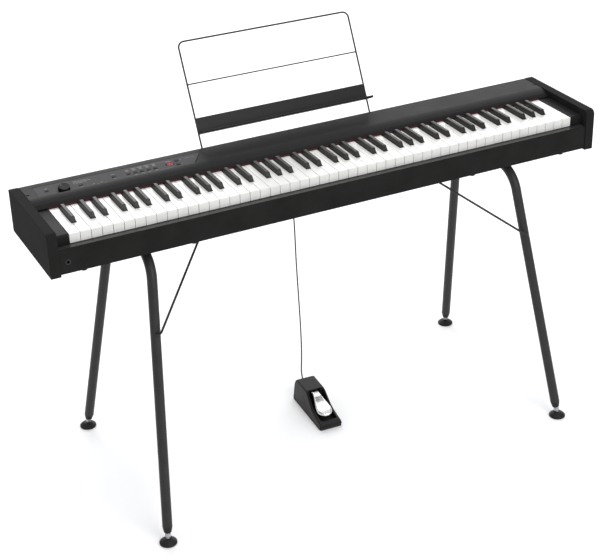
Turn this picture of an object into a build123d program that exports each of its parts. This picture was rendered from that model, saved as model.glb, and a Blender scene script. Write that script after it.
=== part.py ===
from build123d import *
import math
import os

# Digital stage piano on a tubular stand, with a wire music rest and a damper pedal.
# Millimetres, +Z up, player at -Y.  Origin: on the floor under the middle of the case.

# ---- driving dimensions -------------------------------------------------------------
CASE_WIDTH = 1327.0
CASE_DEPTH = 255.0
CASE_BOTTOM = 626.0
CASE_TOP = 723.0
CHEEK_THICKNESS = 22.0
SEAM = 0.2
BOARD_BOTTOM = 630.0
BOARD_THICKNESS = 12.0
KEY_PITCH = 23.5
WHITE_COUNT = 52
KEY_GAP = 0.9
KEY_TOP = 707.0
LEG_FOOT = (510.0, 256.0, 20.0)
LEG_HEAD = (447.2, 117.7, 614.5)
TUBE_RADIUS = 11.0
CORD_DIAMETER = 3.4

# ---- derived case dimensions --------------------------------------------------------
CASE_HEIGHT = CASE_TOP - CASE_BOTTOM
HALF_INSIDE = CASE_WIDTH / 2 - CHEEK_THICKNESS - SEAM
CASE_FRONT = -CASE_DEPTH / 2
CASE_BACK = CASE_DEPTH / 2 - 0.7
BOARD_TOP = BOARD_BOTTOM + BOARD_THICKNESS
RAIL_FRONT = CASE_FRONT + 2.5
RAIL_BACK = RAIL_FRONT + 17.0
RAIL_TOP = 685.0
PANEL_TOP = CASE_TOP - 0.7
PANEL_SKIN = 3.0
ROLL_START = 60.0
ROLL_END = (24.5, 709.5)
FELT_FRONT = 22.2
FELT_LIP = 1.7
FELT_GAP = 0.7
FELT_BACK = 31.0
REAR_SKIN = 3.2

# ---- keys ---------------------------------------------------------------------------
KEY_HALF_SPAN = WHITE_COUNT * KEY_PITCH / 2
KEY_FRONT = -107.0
KEY_SHOULDER = 32.0
KEY_BACK = 118.0
KEY_SLAB_BOTTOM = 693.0
KEY_LIP_BOTTOM = 686.0
KEY_TAIL_BOTTOM = 680.0
PIVOT = (112.0, 686.5)
SHAFT_RADIUS = 2.5
RUNNING_CLEARANCE = 0.05
BLACK_WIDTH = 10.4
BLACK_TOP = 718.5
BLACK_FRONT = -61.0
BLACK_BACK = 20.5
NOTCH_CLEARANCE = 1.0
SHARP_SHIFT = {"C": -2.4, "D": 2.4, "F": -3.4, "G": 0.0, "A": 3.4}
NOTE_NAMES = "ABCDEFG"
OCTAVE_START = 23

# ---- control plate ------------------------------------------------------------------
PLATE_BACK = 111.0
PLATE_DROP = 14.0
PLATE_RUN = PLATE_BACK - ROLL_START
PLATE_LENGTH = math.hypot(PLATE_RUN, PLATE_DROP)
PLATE_LEFT = -616.5
PLATE_RIGHT = -231.0
FACET_WIDTH = 41.0
PLATE_THICKNESS = 2.0
PLATE = Plane(
    origin=(0, PLATE_BACK, PANEL_TOP),
    x_dir=(1, 0, 0),
    z_dir=(0, -PLATE_DROP, PLATE_RUN),
)
PLATE_OUT = Axis(PLATE.origin, PLATE.z_dir)
BUTTON_SIZE = (8.0, 5.0)
BUTTON_PROUD = 1.4
BUTTON_GAP = 0.3
KNOB_CENTRE = (-555.5, -28.0)
KNOB_RADIUS = 13.0
KNOB_HEIGHT = 10.0
KNOB_SHAFT_RADIUS = 3.0
DISPLAY_CENTRE = (-312.0, -19.5)
DISPLAY_SIZE = (20.0, 10.0)
BOARD_DEPTH = 12.0
BOARD_SHEET = 1.6
SWITCH_HEIGHT = 2.1
BUTTON_PLACES = {
    "power_button": (-591.0, -19.0),
    "function_button_left": (-517.0, -24.0),
    "function_button_right": (-441.0, -20.0),
    "value_up_button": (-293.0, -12.0),
    "value_down_button": (-293.0, -25.0),
}
for sound_index in range(5):
    BUTTON_PLACES[f"sound_button_{sound_index + 1}"] = (-408.0 + 15.5 * sound_index, -22.0)

# ---- stand --------------------------------------------------------------------------
TUBE_WALL = 1.5
TUBE_BEND = 60.0
TUBE_START = 33.0
PAD_CENTRE_Z = 6.0
PAD_RADIUS = 19.5
PAD_TOP = 12.0
STUD_RADIUS = 4.0
NECK_START = 8.8
NECK_END = 19.0
PLUG_START = 19.4
PLUG_END = 62.0
PLATE_AT_Y = 75.0
PLATE_SIZE = (54.0, 60.0)
SCREW_SPACING = 38.0
BRACE_RADIUS = 2.5
BRACE_LOW_Z = 463.0
BRACE_TOP_AT = (248.0, 25.0)
BRACE_STANDOFF = 25.0

# ---- music rest ---------------------------------------------------------------------
REST_HALF_WIDTH = 214.0
REST_FOOT_Y = 140.7
REST_BEND_Z = 715.4
REST_TOP = (247.0, 931.0)
REST_WIRE = 2.0
REST_BAR_Z = 845.0
SOCKET_TOP = 710.0
SOCKET_DEPTH = 42.0

# ---- pedal --------------------------------------------------------------------------
PEDAL_TURN = -3.0
PEDAL_CENTRE = Vector(7.0, 42.0, 0.0)
PEDAL_RIGHT = Vector(math.cos(math.radians(PEDAL_TURN)), math.sin(math.radians(PEDAL_TURN)), 0)
PEDAL_REAR = Vector(-PEDAL_RIGHT.Y, PEDAL_RIGHT.X, 0)
PEDAL_SIDE = Plane(origin=PEDAL_CENTRE, x_dir=PEDAL_REAR, z_dir=PEDAL_RIGHT)
PEDAL_FLOOR = Plane(origin=PEDAL_CENTRE, x_dir=PEDAL_RIGHT, z_dir=(0, 0, 1))
PEDAL_FACE = Plane(origin=PEDAL_CENTRE, x_dir=PEDAL_RIGHT, z_dir=-PEDAL_REAR)
SOLE_TOP = 6.0
PEDAL_TOE = -83.0
PEDAL_HEEL = 83.0
PEDAL_PIVOT = (52.0, 42.0)
PEDAL_PIN_RADIUS = 2.5
PEDAL_TOP = 61.0
PEDAL_BROW = 11.0
CAVITY_FLOOR = 20.0
CAVITY_TOP = 57.0
CHANNEL_WIDTH = 42.0

# ---- pedal cord: its route, from the plug to the pedal's nose -------------------------
CORD_ROUTE = [
    (2.0, 136.0, 638.0),
    (2.5, 136.5, 592.0),
    (4.5, 137.5, 538.0),
    (7.5, 139.5, 484.0),
    (10.0, 141.5, 430.0),
    (11.5, 143.5, 376.0),
    (14.0, 145.0, 322.0),
    (17.0, 147.0, 268.0),
    (19.8, 149.0, 214.0),
    (22.3, 151.5, 160.0),
    (24.2, 154.5, 112.0),
    (24.2, 157.5, 72.0),
    (21.4, 155.0, 44.0),
    (18.1, 137.5, 30.5),
]

os.makedirs("parts", exist_ok=True)


def keep(builder, label):
    builder.part.label = label
    export_step(builder.part, f"parts/{label}.step")


def slab(low, high, mode=Mode.ADD):
    size = [b - a for a, b in zip(low, high)]
    middle = [(a + b) / 2 for a, b in zip(low, high)]
    with Locations(tuple(middle)):
        Box(*size, mode=mode)


# ---- case ---------------------------------------------------------------------------
SCREW_PLACES = [
    (side * LEG_HEAD[0] + dx, end * PLATE_AT_Y)
    for side in (-1, 1)
    for end in (-1, 1)
    for dx in (-SCREW_SPACING / 2, SCREW_SPACING / 2)
]

with BuildPart() as bottom_board:
    slab((-HALF_INSIDE, RAIL_BACK, BOARD_BOTTOM), (HALF_INSIDE, CASE_BACK, BOARD_TOP))
    with Locations(*[(x, y, BOARD_BOTTOM + 5) for x, y in SCREW_PLACES]):
        Cylinder(3.1, 10, mode=Mode.SUBTRACT)
    with Locations(*[(side * BRACE_TOP_AT[0], BRACE_TOP_AT[1], BOARD_BOTTOM + 4) for side in (-1, 1)]):
        Cylinder(BRACE_RADIUS + 0.1, 8, mode=Mode.SUBTRACT)
keep(bottom_board, "bottom_board")


def cheek(label, x_low):
    with BuildPart() as side_panel:
        with BuildSketch(Plane.YZ.offset(x_low)):
            with Locations((0, (CASE_BOTTOM + CASE_TOP) / 2)):
                Rectangle(CASE_DEPTH, CASE_HEIGHT)
        extrude(amount=CHEEK_THICKNESS)
        long_edges = side_panel.edges().filter_by(Axis.X).sort_by(Axis.Y)
        fillet(long_edges[:2].sort_by(Axis.Z)[-1], 11)
        back_edges = side_panel.edges().filter_by(Axis.X).sort_by(Axis.Y)[-2:]
        chamfer(back_edges.sort_by(Axis.Z)[0], 4)
        fillet(side_panel.faces().sort_by(Axis.X)[0].edges(), 0.8)
        fillet(side_panel.faces().sort_by(Axis.X)[-1].edges(), 0.8)
    keep(side_panel, label)


cheek("left_cheek", -CASE_WIDTH / 2)
cheek("right_cheek", CASE_WIDTH / 2 - CHEEK_THICKNESS)

PHONES_AT = (-624.0, 655.0)
JACK_RADIUS = 6.0
JACK_BORE = 3.25
with BuildPart() as front_rail:
    with BuildSketch(Plane.YZ.offset(-HALF_INSIDE)):
        with BuildLine():
            Polyline(
                (RAIL_FRONT, BOARD_BOTTOM),
                (RAIL_BACK, BOARD_BOTTOM),
                (RAIL_BACK, RAIL_TOP),
                (RAIL_FRONT + 3, RAIL_TOP),
                (RAIL_FRONT, RAIL_TOP - 3),
                close=True,
            )
        make_face()
    extrude(amount=2 * HALF_INSIDE)
    with BuildSketch(Plane.XZ.offset(-RAIL_BACK)):
        with Locations(PHONES_AT):
            Circle(JACK_RADIUS + 0.1)
    extrude(amount=RAIL_BACK - RAIL_FRONT, mode=Mode.SUBTRACT)
keep(front_rail, "front_rail")

BLOCK_INNER = KEY_HALF_SPAN + 1.4
with BuildPart() as key_blocks:
    for side in (-1, 1):
        inner = side * BLOCK_INNER
        outer = side * HALF_INSIDE
        slab((min(inner, outer), KEY_FRONT - 0.5, BOARD_TOP), (max(inner, outer), 29.0, KEY_TOP))
    top_front = key_blocks.edges().filter_by(Axis.X).group_by(Axis.Y)[0].group_by(Axis.Z)[-1]
    fillet(top_front, 5)
keep(key_blocks, "key_blocks")


def roll_profile(inset):
    """The panel's outline from its back edge over the flat and down the front roll."""
    Line((CASE_BACK - inset, PANEL_TOP - inset), (ROLL_START, PANEL_TOP - inset))
    TangentArc(
        (ROLL_START, PANEL_TOP - inset),
        (ROLL_END[0] + inset, ROLL_END[1]),
        tangent=(-1, 0),
    )


def plate_outline(margin):
    """The control plate's four corners in its own sloping plane."""
    Polyline(
        (PLATE_LEFT + margin, -margin),
        (PLATE_RIGHT - 2 * margin, -margin),
        (PLATE_RIGHT - FACET_WIDTH - margin, -PLATE_LENGTH + margin),
        (PLATE_LEFT + margin, -PLATE_LENGTH + margin),
        close=True,
    )


with BuildPart() as pocket_cutter:
    with BuildSketch(Plane.YZ.offset(PLATE_LEFT)):
        with BuildLine():
            Polyline(
                (PLATE_BACK, PANEL_TOP),
                (PLATE_BACK, PANEL_TOP + 5),
                (ROLL_START, PANEL_TOP + 5),
                (ROLL_START, PANEL_TOP - PLATE_DROP),
                close=True,
            )
        make_face()
    extrude(amount=PLATE_RIGHT - PLATE_LEFT)
    with BuildSketch(Plane.XZ.offset(-PLATE_BACK)):
        with BuildLine():
            Polyline(
                (PLATE_LEFT, PANEL_TOP - PLATE_DROP),
                (PLATE_RIGHT - FACET_WIDTH, PANEL_TOP - PLATE_DROP),
                (PLATE_RIGHT, PANEL_TOP),
                (PLATE_RIGHT, PANEL_TOP + 5),
                (PLATE_LEFT, PANEL_TOP + 5),
                close=True,
            )
        make_face()
    extrude(amount=PLATE_RUN, mode=Mode.INTERSECT)

with BuildPart() as top_panel:
    with BuildSketch(Plane.YZ.offset(-HALF_INSIDE)):
        with BuildLine():
            roll_profile(0)
            roll_profile(PANEL_SKIN)
            Line((CASE_BACK, PANEL_TOP), (CASE_BACK, PANEL_TOP - PANEL_SKIN))
            Line((CASE_BACK, PANEL_TOP - PANEL_SKIN), (CASE_BACK - PANEL_SKIN, PANEL_TOP - PANEL_SKIN))
            Line(ROLL_END, (ROLL_END[0] + PANEL_SKIN, ROLL_END[1]))
        make_face()
    extrude(amount=2 * HALF_INSIDE)
    slab(
        (PLATE_LEFT - 3, ROLL_START - 3, PANEL_TOP - PLATE_DROP - 5),
        (PLATE_RIGHT + 6, PLATE_BACK + 3, PANEL_TOP - 1),
    )
    add(pocket_cutter.part, mode=Mode.SUBTRACT)
    with BuildSketch(PLATE):
        with BuildLine():
            plate_outline(0)
        make_face()
    extrude(amount=-PLATE_THICKNESS - 0.2, mode=Mode.SUBTRACT)
    slab((PLATE_LEFT + 8, 66, 690), (PLATE_RIGHT - FACET_WIDTH - 6, 105, 721), mode=Mode.SUBTRACT)
keep(top_panel, "top_panel")

HEAD_BACK = CASE_BACK - REAR_SKIN
JACK_AT = (2.0, 672.7)
JACK_SPACING = 34.0
with BuildPart() as rear_panel:
    slab((-HALF_INSIDE, HEAD_BACK, BOARD_TOP), (HALF_INSIDE, CASE_BACK, PANEL_TOP - PANEL_SKIN - SEAM))
    with BuildSketch(Plane.XZ.offset(-CASE_BACK)):
        with Locations(*[(JACK_AT[0] + JACK_SPACING * step, JACK_AT[1]) for step in range(3)]):
            Circle(JACK_RADIUS + 0.1)
    extrude(amount=REAR_SKIN, mode=Mode.SUBTRACT)
keep(rear_panel, "rear_panel")

with BuildPart() as control_panel:
    with BuildSketch(PLATE):
        with BuildLine():
            plate_outline(0.3)
        make_face()
        with Locations(*BUTTON_PLACES.values()):
            Rectangle(BUTTON_SIZE[0] + 0.6, BUTTON_SIZE[1] + 0.6, mode=Mode.SUBTRACT)
        with Locations(KNOB_CENTRE):
            Circle(KNOB_SHAFT_RADIUS + 0.4, mode=Mode.SUBTRACT)
        with Locations(DISPLAY_CENTRE):
            Rectangle(DISPLAY_SIZE[0], DISPLAY_SIZE[1], mode=Mode.SUBTRACT)
    extrude(amount=-PLATE_THICKNESS)
keep(control_panel, "control_panel")

with BuildPart() as felt_strip:
    felt_bottom = KEY_TOP + FELT_GAP
    felt_turn = FELT_FRONT + FELT_LIP
    slab((-KEY_HALF_SPAN, FELT_FRONT, felt_bottom), (KEY_HALF_SPAN, felt_turn, ROLL_END[1] + 0.7))
    slab((-KEY_HALF_SPAN, felt_turn, felt_bottom), (KEY_HALF_SPAN, FELT_BACK, ROLL_END[1]))
keep(felt_strip, "felt_strip")

# ---- key bed and electronics --------------------------------------------------------
BED_TOP = 666.0
BED_SHEET = 2.0
SHAFT_HALF = KEY_HALF_SPAN + 3.5
with BuildPart() as key_chassis:
    slab((-KEY_HALF_SPAN, -98, BED_TOP - BED_SHEET), (KEY_HALF_SPAN, 121.5, BED_TOP))
    slab((-KEY_HALF_SPAN, -98, BOARD_TOP), (KEY_HALF_SPAN, -96, BED_TOP))
    slab((-KEY_HALF_SPAN, 119.5, BOARD_TOP), (KEY_HALF_SPAN, 121.5, BED_TOP + 26))
    for side in (-1, 1):
        near = side * (KEY_HALF_SPAN - 0.2)
        far = side * SHAFT_HALF
        slab((min(near, far), 100, BED_TOP - BED_SHEET), (max(near, far), 121.5, BED_TOP + 28))
    with BuildSketch(Plane.YZ.offset(-SHAFT_HALF)):
        with Locations(PIVOT):
            Circle(SHAFT_RADIUS)
    extrude(amount=2 * SHAFT_HALF, mode=Mode.SUBTRACT)
    slab((JACK_AT[0] - 8, 119, BED_TOP), (JACK_AT[0] + 76, 122, BED_TOP + 13.5), mode=Mode.SUBTRACT)
keep(key_chassis, "key_chassis")

with BuildPart() as key_shaft:
    with BuildSketch(Plane.YZ.offset(-SHAFT_HALF)):
        with Locations(PIVOT):
            Circle(SHAFT_RADIUS)
    extrude(amount=2 * SHAFT_HALF)
keep(key_shaft, "key_shaft")

with BuildPart() as contact_board:
    slab((-600, -30, BED_TOP), (600, 0, BED_TOP + BOARD_SHEET))
    slab((-596, -20, BED_TOP + BOARD_SHEET + 0.1), (596, -10, BED_TOP + 17))
keep(contact_board, "contact_board")

with BuildPart() as main_board:
    slab((-240, 10, BOARD_TOP + 4), (-20, 100, BOARD_TOP + 5.6))
    for x, y, width, depth, height in (
        (-200, 60, 28, 28, 3),
        (-150, 55, 20, 14, 3),
        (-100, 70, 16, 30, 8),
        (-60, 40, 14, 14, 10),
        (-200, 25, 40, 10, 9),
    ):
        slab(
            (x - width / 2, y - depth / 2, BOARD_TOP + 5.7),
            (x + width / 2, y + depth / 2, BOARD_TOP + 5.7 + height),
        )
keep(main_board, "main_board")

SWITCH_BASE = -BOARD_DEPTH + BOARD_SHEET
with BuildPart() as panel_board:
    with BuildSketch(PLATE.offset(-BOARD_DEPTH)):
        with Locations((-444, -29)):
            Rectangle(322, 33)
    extrude(amount=BOARD_SHEET)
    with BuildSketch(PLATE.offset(SWITCH_BASE)):
        with Locations(*BUTTON_PLACES.values()):
            Rectangle(6, 6)
    extrude(amount=SWITCH_HEIGHT)
    with BuildSketch(PLATE.offset(SWITCH_BASE)):
        with Locations(KNOB_CENTRE):
            Circle(7)
            Circle(KNOB_SHAFT_RADIUS + RUNNING_CLEARANCE, mode=Mode.SUBTRACT)
    extrude(amount=7)
keep(panel_board, "panel_board")

with BuildPart() as display_module:
    with BuildSketch(PLATE.offset(-7)):
        with Locations(DISPLAY_CENTRE):
            Rectangle(DISPLAY_SIZE[0] - 0.4, DISPLAY_SIZE[1] - 0.4)
    extrude(amount=6.8)
keep(display_module, "display_module")

JACK_DEPTH = 26.0
JACK_PROUD = 0.6
with BuildPart() as jacks:
    with BuildSketch(Plane.XZ.offset(-RAIL_BACK)):
        with Locations(PHONES_AT):
            Circle(JACK_RADIUS)
            Circle(JACK_BORE, mode=Mode.SUBTRACT)
    extrude(amount=RAIL_BACK - RAIL_FRONT + JACK_PROUD)
    for step in range(3):
        with BuildSketch(Plane.XZ.offset(-CASE_BACK - JACK_PROUD)):
            with Locations((JACK_AT[0] + JACK_SPACING * step, JACK_AT[1])):
                Circle(JACK_RADIUS)
                Circle(JACK_BORE, mode=Mode.SUBTRACT)
        extrude(amount=JACK_DEPTH)
keep(jacks, "jacks")

# ---- controls -----------------------------------------------------------------------
with BuildPart() as volume_knob:
    with BuildSketch(PLATE.offset(0.6)):
        with Locations(KNOB_CENTRE):
            Circle(KNOB_RADIUS)
    extrude(amount=KNOB_HEIGHT)
    chamfer(volume_knob.faces().sort_by(PLATE_OUT)[-1].edges(), 0.8)
    with BuildSketch(PLATE.offset(SWITCH_BASE + 1)):
        with Locations(KNOB_CENTRE):
            Circle(KNOB_SHAFT_RADIUS)
    extrude(amount=2 - SWITCH_BASE)
keep(volume_knob, "volume_knob")


def push_button(label, place):
    with BuildPart() as button:
        with BuildSketch(PLATE.offset(-PLATE_THICKNESS - BUTTON_GAP)):
            with Locations(place):
                Rectangle(*BUTTON_SIZE)
        extrude(amount=PLATE_THICKNESS + BUTTON_GAP + BUTTON_PROUD)
        fillet(button.faces().sort_by(PLATE_OUT)[-1].edges(), 0.5)
        with BuildSketch(PLATE.offset(-PLATE_THICKNESS - BUTTON_GAP - 1)):
            with Locations(place):
                Rectangle(BUTTON_SIZE[0] + 3, BUTTON_SIZE[1] + 3)
        extrude(amount=1)
        with BuildSketch(PLATE.offset(SWITCH_BASE + SWITCH_HEIGHT + 1.4)):
            with Locations(place):
                Circle(1.5)
        extrude(amount=-PLATE_THICKNESS - BUTTON_GAP - SWITCH_BASE - SWITCH_HEIGHT - 1.4)
    keep(button, label)


for button_name, button_place in BUTTON_PLACES.items():
    push_button(button_name, button_place)


# ---- keys: 52 naturals and 36 sharps --------------------------------------------------
def white_middle(index):
    return -KEY_HALF_SPAN + (index + 0.5) * KEY_PITCH


def sharp_middle(index):
    """Middle of the sharp to the right of a natural, or None where there is none."""
    letter = NOTE_NAMES[index % 7]
    if letter not in SHARP_SHIFT or index > WHITE_COUNT - 2:
        return None
    return white_middle(index) + KEY_PITCH / 2 + SHARP_SHIFT[letter]


def soften_top(builder, front_radius, side_radius):
    """Round the top edges that a finger meets: the front, and the long sides."""
    top = builder.faces().filter_by(Plane.XY).group_by(Axis.Z)[-1]
    fillet(top.edges().filter_by(Axis.X).group_by(Axis.Y)[0], front_radius)
    top = builder.faces().filter_by(Plane.XY).group_by(Axis.Z)[-1]
    fillet(top.edges().filter_by(Axis.Y), side_radius)


def white_key(index):
    half = (KEY_PITCH - KEY_GAP) / 2
    middle = white_middle(index)
    reach = BLACK_WIDTH / 2 + NOTCH_CLEARANCE
    with BuildPart() as key:
        with BuildSketch(Plane.YZ.offset(middle - half)):
            with BuildLine():
                Polyline(
                    (KEY_FRONT, KEY_LIP_BOTTOM),
                    (KEY_FRONT, KEY_TOP),
                    (KEY_SHOULDER, KEY_TOP),
                    (KEY_SHOULDER, KEY_SLAB_BOTTOM),
                    (KEY_BACK, KEY_SLAB_BOTTOM),
                    (KEY_BACK, KEY_TAIL_BOTTOM),
                    (10, KEY_TAIL_BOTTOM),
                    (2, KEY_SLAB_BOTTOM),
                    (KEY_FRONT + 10, KEY_SLAB_BOTTOM),
                    (KEY_FRONT + 10, KEY_LIP_BOTTOM),
                    close=True,
                )
            make_face()
            with Locations(PIVOT):
                Circle(SHAFT_RADIUS + RUNNING_CLEARANCE, mode=Mode.SUBTRACT)
        extrude(amount=2 * half)
        left_sharp = sharp_middle(index - 1) if index > 0 else None
        right_sharp = sharp_middle(index)
        if left_sharp is not None:
            slab(
                (middle - KEY_PITCH, BLACK_FRONT - 2, KEY_TAIL_BOTTOM - 1),
                (left_sharp + reach, KEY_BACK + 1, KEY_TOP + 1),
                mode=Mode.SUBTRACT,
            )
        if right_sharp is not None:
            slab(
                (right_sharp - reach, BLACK_FRONT - 2, KEY_TAIL_BOTTOM - 1),
                (middle + KEY_PITCH, KEY_BACK + 1, KEY_TOP + 1),
                mode=Mode.SUBTRACT,
            )
        soften_top(key, 1.6, 0.5)
    return key


def black_key(index):
    with BuildPart() as key:
        with BuildSketch(Plane.YZ.offset(sharp_middle(index) - BLACK_WIDTH / 2)):
            with BuildLine():
                Polyline(
                    (BLACK_FRONT, KEY_SLAB_BOTTOM),
                    (BLACK_FRONT, KEY_TOP - 1),
                    (BLACK_FRONT + 7, BLACK_TOP),
                    (BLACK_BACK, BLACK_TOP),
                    (BLACK_BACK, KEY_TOP - 1),
                    (KEY_SHOULDER, KEY_TOP - 1),
                    (KEY_SHOULDER, KEY_SLAB_BOTTOM),
                    (KEY_BACK, KEY_SLAB_BOTTOM),
                    (KEY_BACK, KEY_TAIL_BOTTOM),
                    (10, KEY_TAIL_BOTTOM),
                    (2, KEY_SLAB_BOTTOM),
                    close=True,
                )
            make_face()
            with Locations(PIVOT):
                Circle(SHAFT_RADIUS + RUNNING_CLEARANCE, mode=Mode.SUBTRACT)
        extrude(amount=BLACK_WIDTH)
        soften_top(key, 1.2, 1.3)
    return key


own_octave = range(OCTAVE_START, OCTAVE_START + 7)
for white_index in own_octave:
    note = NOTE_NAMES[white_index % 7].lower()
    keep(white_key(white_index), f"white_key_{note}")
    if sharp_middle(white_index) is not None:
        keep(black_key(white_index), f"black_key_{note}_sharp")

other_indices = [index for index in range(WHITE_COUNT) if index not in own_octave]
other_whites = [white_key(index).part for index in other_indices]
other_blacks = [black_key(index).part for index in other_indices if sharp_middle(index) is not None]

with BuildPart() as other_white_keys:
    add(other_whites)
keep(other_white_keys, "other_white_keys")

with BuildPart() as other_black_keys:
    add(other_blacks)
keep(other_black_keys, "other_black_keys")


# ---- music rest -----------------------------------------------------------------------
rest_rise = math.atan2(REST_TOP[0] - REST_FOOT_Y, REST_TOP[1] - REST_BEND_Z)
REST_UP = Vector(0, math.sin(rest_rise), math.cos(rest_rise))
REST_FORWARD = Vector(0, -REST_UP.Z, REST_UP.Y)
REST_PLANE = Plane(origin=(0, REST_FOOT_Y, REST_BEND_Z), x_dir=REST_FORWARD, z_dir=(-1, 0, 0))
REST_BAR_Y = REST_FOOT_Y + (REST_BAR_Z - REST_BEND_Z) * math.tan(rest_rise)

with BuildPart() as rest_frame:
    with BuildLine() as rest_route:
        FilletPolyline(
            (-REST_HALF_WIDTH, REST_FOOT_Y, SOCKET_TOP - SOCKET_DEPTH + 2.4),
            (-REST_HALF_WIDTH, REST_FOOT_Y, REST_BEND_Z),
            (-REST_HALF_WIDTH, *REST_TOP),
            (REST_HALF_WIDTH, *REST_TOP),
            (REST_HALF_WIDTH, REST_FOOT_Y, REST_BEND_Z),
            (REST_HALF_WIDTH, REST_FOOT_Y, SOCKET_TOP - SOCKET_DEPTH + 2.4),
            radius=[12, 14, 14, 12],
        )
    with BuildSketch(Plane(origin=rest_route.wire() @ 0, z_dir=rest_route.wire() % 0)):
        Circle(REST_WIRE)
    sweep(path=rest_route.wire())
    with BuildSketch(Plane.YZ.offset(-REST_HALF_WIDTH)):
        with Locations((REST_BAR_Y, REST_BAR_Z)):
            Circle(1.5)
    extrude(amount=2 * REST_HALF_WIDTH)
keep(rest_frame, "rest_frame")

LEDGE_LOW = 32.0
LEDGE_HEIGHT = 36.0
LEDGE_REACH = 34.0
SHEET = 1.5
with BuildPart() as rest_ledge:
    with BuildSketch(REST_PLANE):
        back = REST_WIRE + 0.1
        with BuildLine():
            Polyline(
                (back, LEDGE_LOW),
                (back + LEDGE_REACH, LEDGE_LOW),
                (back + LEDGE_REACH, LEDGE_LOW + 4),
                (back + LEDGE_REACH - SHEET, LEDGE_LOW + 4),
                (back + LEDGE_REACH - SHEET, LEDGE_LOW + SHEET),
                (back + SHEET, LEDGE_LOW + SHEET),
                (back + SHEET, LEDGE_LOW + LEDGE_HEIGHT),
                (back, LEDGE_LOW + LEDGE_HEIGHT),
                close=True,
            )
        make_face()
    extrude(amount=REST_HALF_WIDTH, both=True)
keep(rest_ledge, "rest_ledge")

with BuildPart() as rest_sockets:
    for side in (-1, 1):
        x = side * REST_HALF_WIDTH
        slab((x - 9, CASE_BACK, SOCKET_TOP - SOCKET_DEPTH), (x + 9, REST_FOOT_Y + 9, SOCKET_TOP))
    fillet(rest_sockets.edges().filter_by(Axis.Z).group_by(Axis.Y)[-1], 4)
    with BuildSketch(Plane.XY.offset(SOCKET_TOP)):
        with Locations(*[(side * REST_HALF_WIDTH, REST_FOOT_Y) for side in (-1, 1)]):
            Circle(REST_WIRE + RUNNING_CLEARANCE)
    extrude(amount=-SOCKET_DEPTH + 2, mode=Mode.SUBTRACT)
keep(rest_sockets, "rest_sockets")


# ---- stand ------------------------------------------------------------------------------
LEG_RISE = Vector(*LEG_HEAD) - Vector(*LEG_FOOT)


def leg_axis(side, end):
    """A leg's pad centre and its direction, up the tube."""
    direction = Vector(side * LEG_RISE.X, end * LEG_RISE.Y, LEG_RISE.Z).normalized()
    foot = Vector(side * LEG_FOOT[0], end * LEG_FOOT[1], LEG_FOOT[2])
    return foot + direction * ((PAD_CENTRE_Z - LEG_FOOT[2]) / direction.Z), direction


def leg_plane(side, end, distance):
    """A plane across the leg, at a distance up its axis from the pad's centre."""
    start, direction = leg_axis(side, end)
    return Plane(origin=start + direction * distance, z_dir=direction)


def leg_point(side, end, z):
    start, direction = leg_axis(side, end)
    return start + direction * ((z - start.Z) / direction.Z)


def brace_route(side):
    low = leg_point(side, -1, BRACE_LOW_Z)
    front = low + Vector(0, -BRACE_STANDOFF, 0)
    top = Vector(side * BRACE_TOP_AT[0], BRACE_TOP_AT[1], BOARD_BOTTOM - 8)
    return [low + Vector(0, -TUBE_RADIUS + 6, 0), front, top, top + Vector(0, 0, 16)]


def leg_frame(label, side):
    with BuildPart() as frame:
        with BuildLine() as route:
            FilletPolyline(
                leg_plane(side, -1, TUBE_START).origin,
                (side * LEG_HEAD[0], -LEG_HEAD[1], LEG_HEAD[2]),
                (side * LEG_HEAD[0], LEG_HEAD[1], LEG_HEAD[2]),
                leg_plane(side, 1, TUBE_START).origin,
                radius=TUBE_BEND,
            )
        with BuildSketch(leg_plane(side, -1, TUBE_START)):
            Circle(TUBE_RADIUS)
            Circle(TUBE_RADIUS - TUBE_WALL, mode=Mode.SUBTRACT)
        sweep(path=route.wire())
        for end in (-1, 1):
            slab(
                (side * LEG_HEAD[0] - PLATE_SIZE[0] / 2, end * PLATE_AT_Y - PLATE_SIZE[1] / 2, 625.0),
                (side * LEG_HEAD[0] + PLATE_SIZE[0] / 2, end * PLATE_AT_Y + PLATE_SIZE[1] / 2, BOARD_BOTTOM),
            )
        with Locations(*[(x, y, 627.5) for x, y in SCREW_PLACES if x * side > 0]):
            Cylinder(3.2, 6, mode=Mode.SUBTRACT)
        hole_middle = leg_point(side, -1, BRACE_LOW_Z) + Vector(0, -TUBE_RADIUS, 0)
        with BuildSketch(Plane.XZ.offset(-hole_middle.Y + 6)):
            with Locations((hole_middle.X, hole_middle.Z)):
                Circle(BRACE_RADIUS + 0.3)
        extrude(amount=-14, mode=Mode.SUBTRACT)
    keep(frame, label)


leg_frame("left_leg_frame", -1)
leg_frame("right_leg_frame", 1)


def brace(side):
    with BuildPart() as rod:
        with BuildLine() as route:
            FilletPolyline(*brace_route(side), radius=[6, 6])
        with BuildSketch(Plane(origin=route.wire() @ 0, z_dir=route.wire() % 0)):
            Circle(BRACE_RADIUS)
        sweep(path=route.wire())
    return rod.part


brace_rods = [brace(side) for side in (-1, 1)]
with BuildPart() as leg_braces:
    add(brace_rods)
keep(leg_braces, "leg_braces")

with BuildPart() as frame_screws:
    for x, y in SCREW_PLACES:
        with BuildSketch(Plane.XY.offset(625)):
            with Locations((x, y)):
                Circle(6)
        extrude(amount=-4, taper=12)
        with BuildSketch(Plane.XY.offset(625)):
            with Locations((x, y)):
                Circle(3)
        extrude(amount=14)
keep(frame_screws, "frame_screws")

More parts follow.
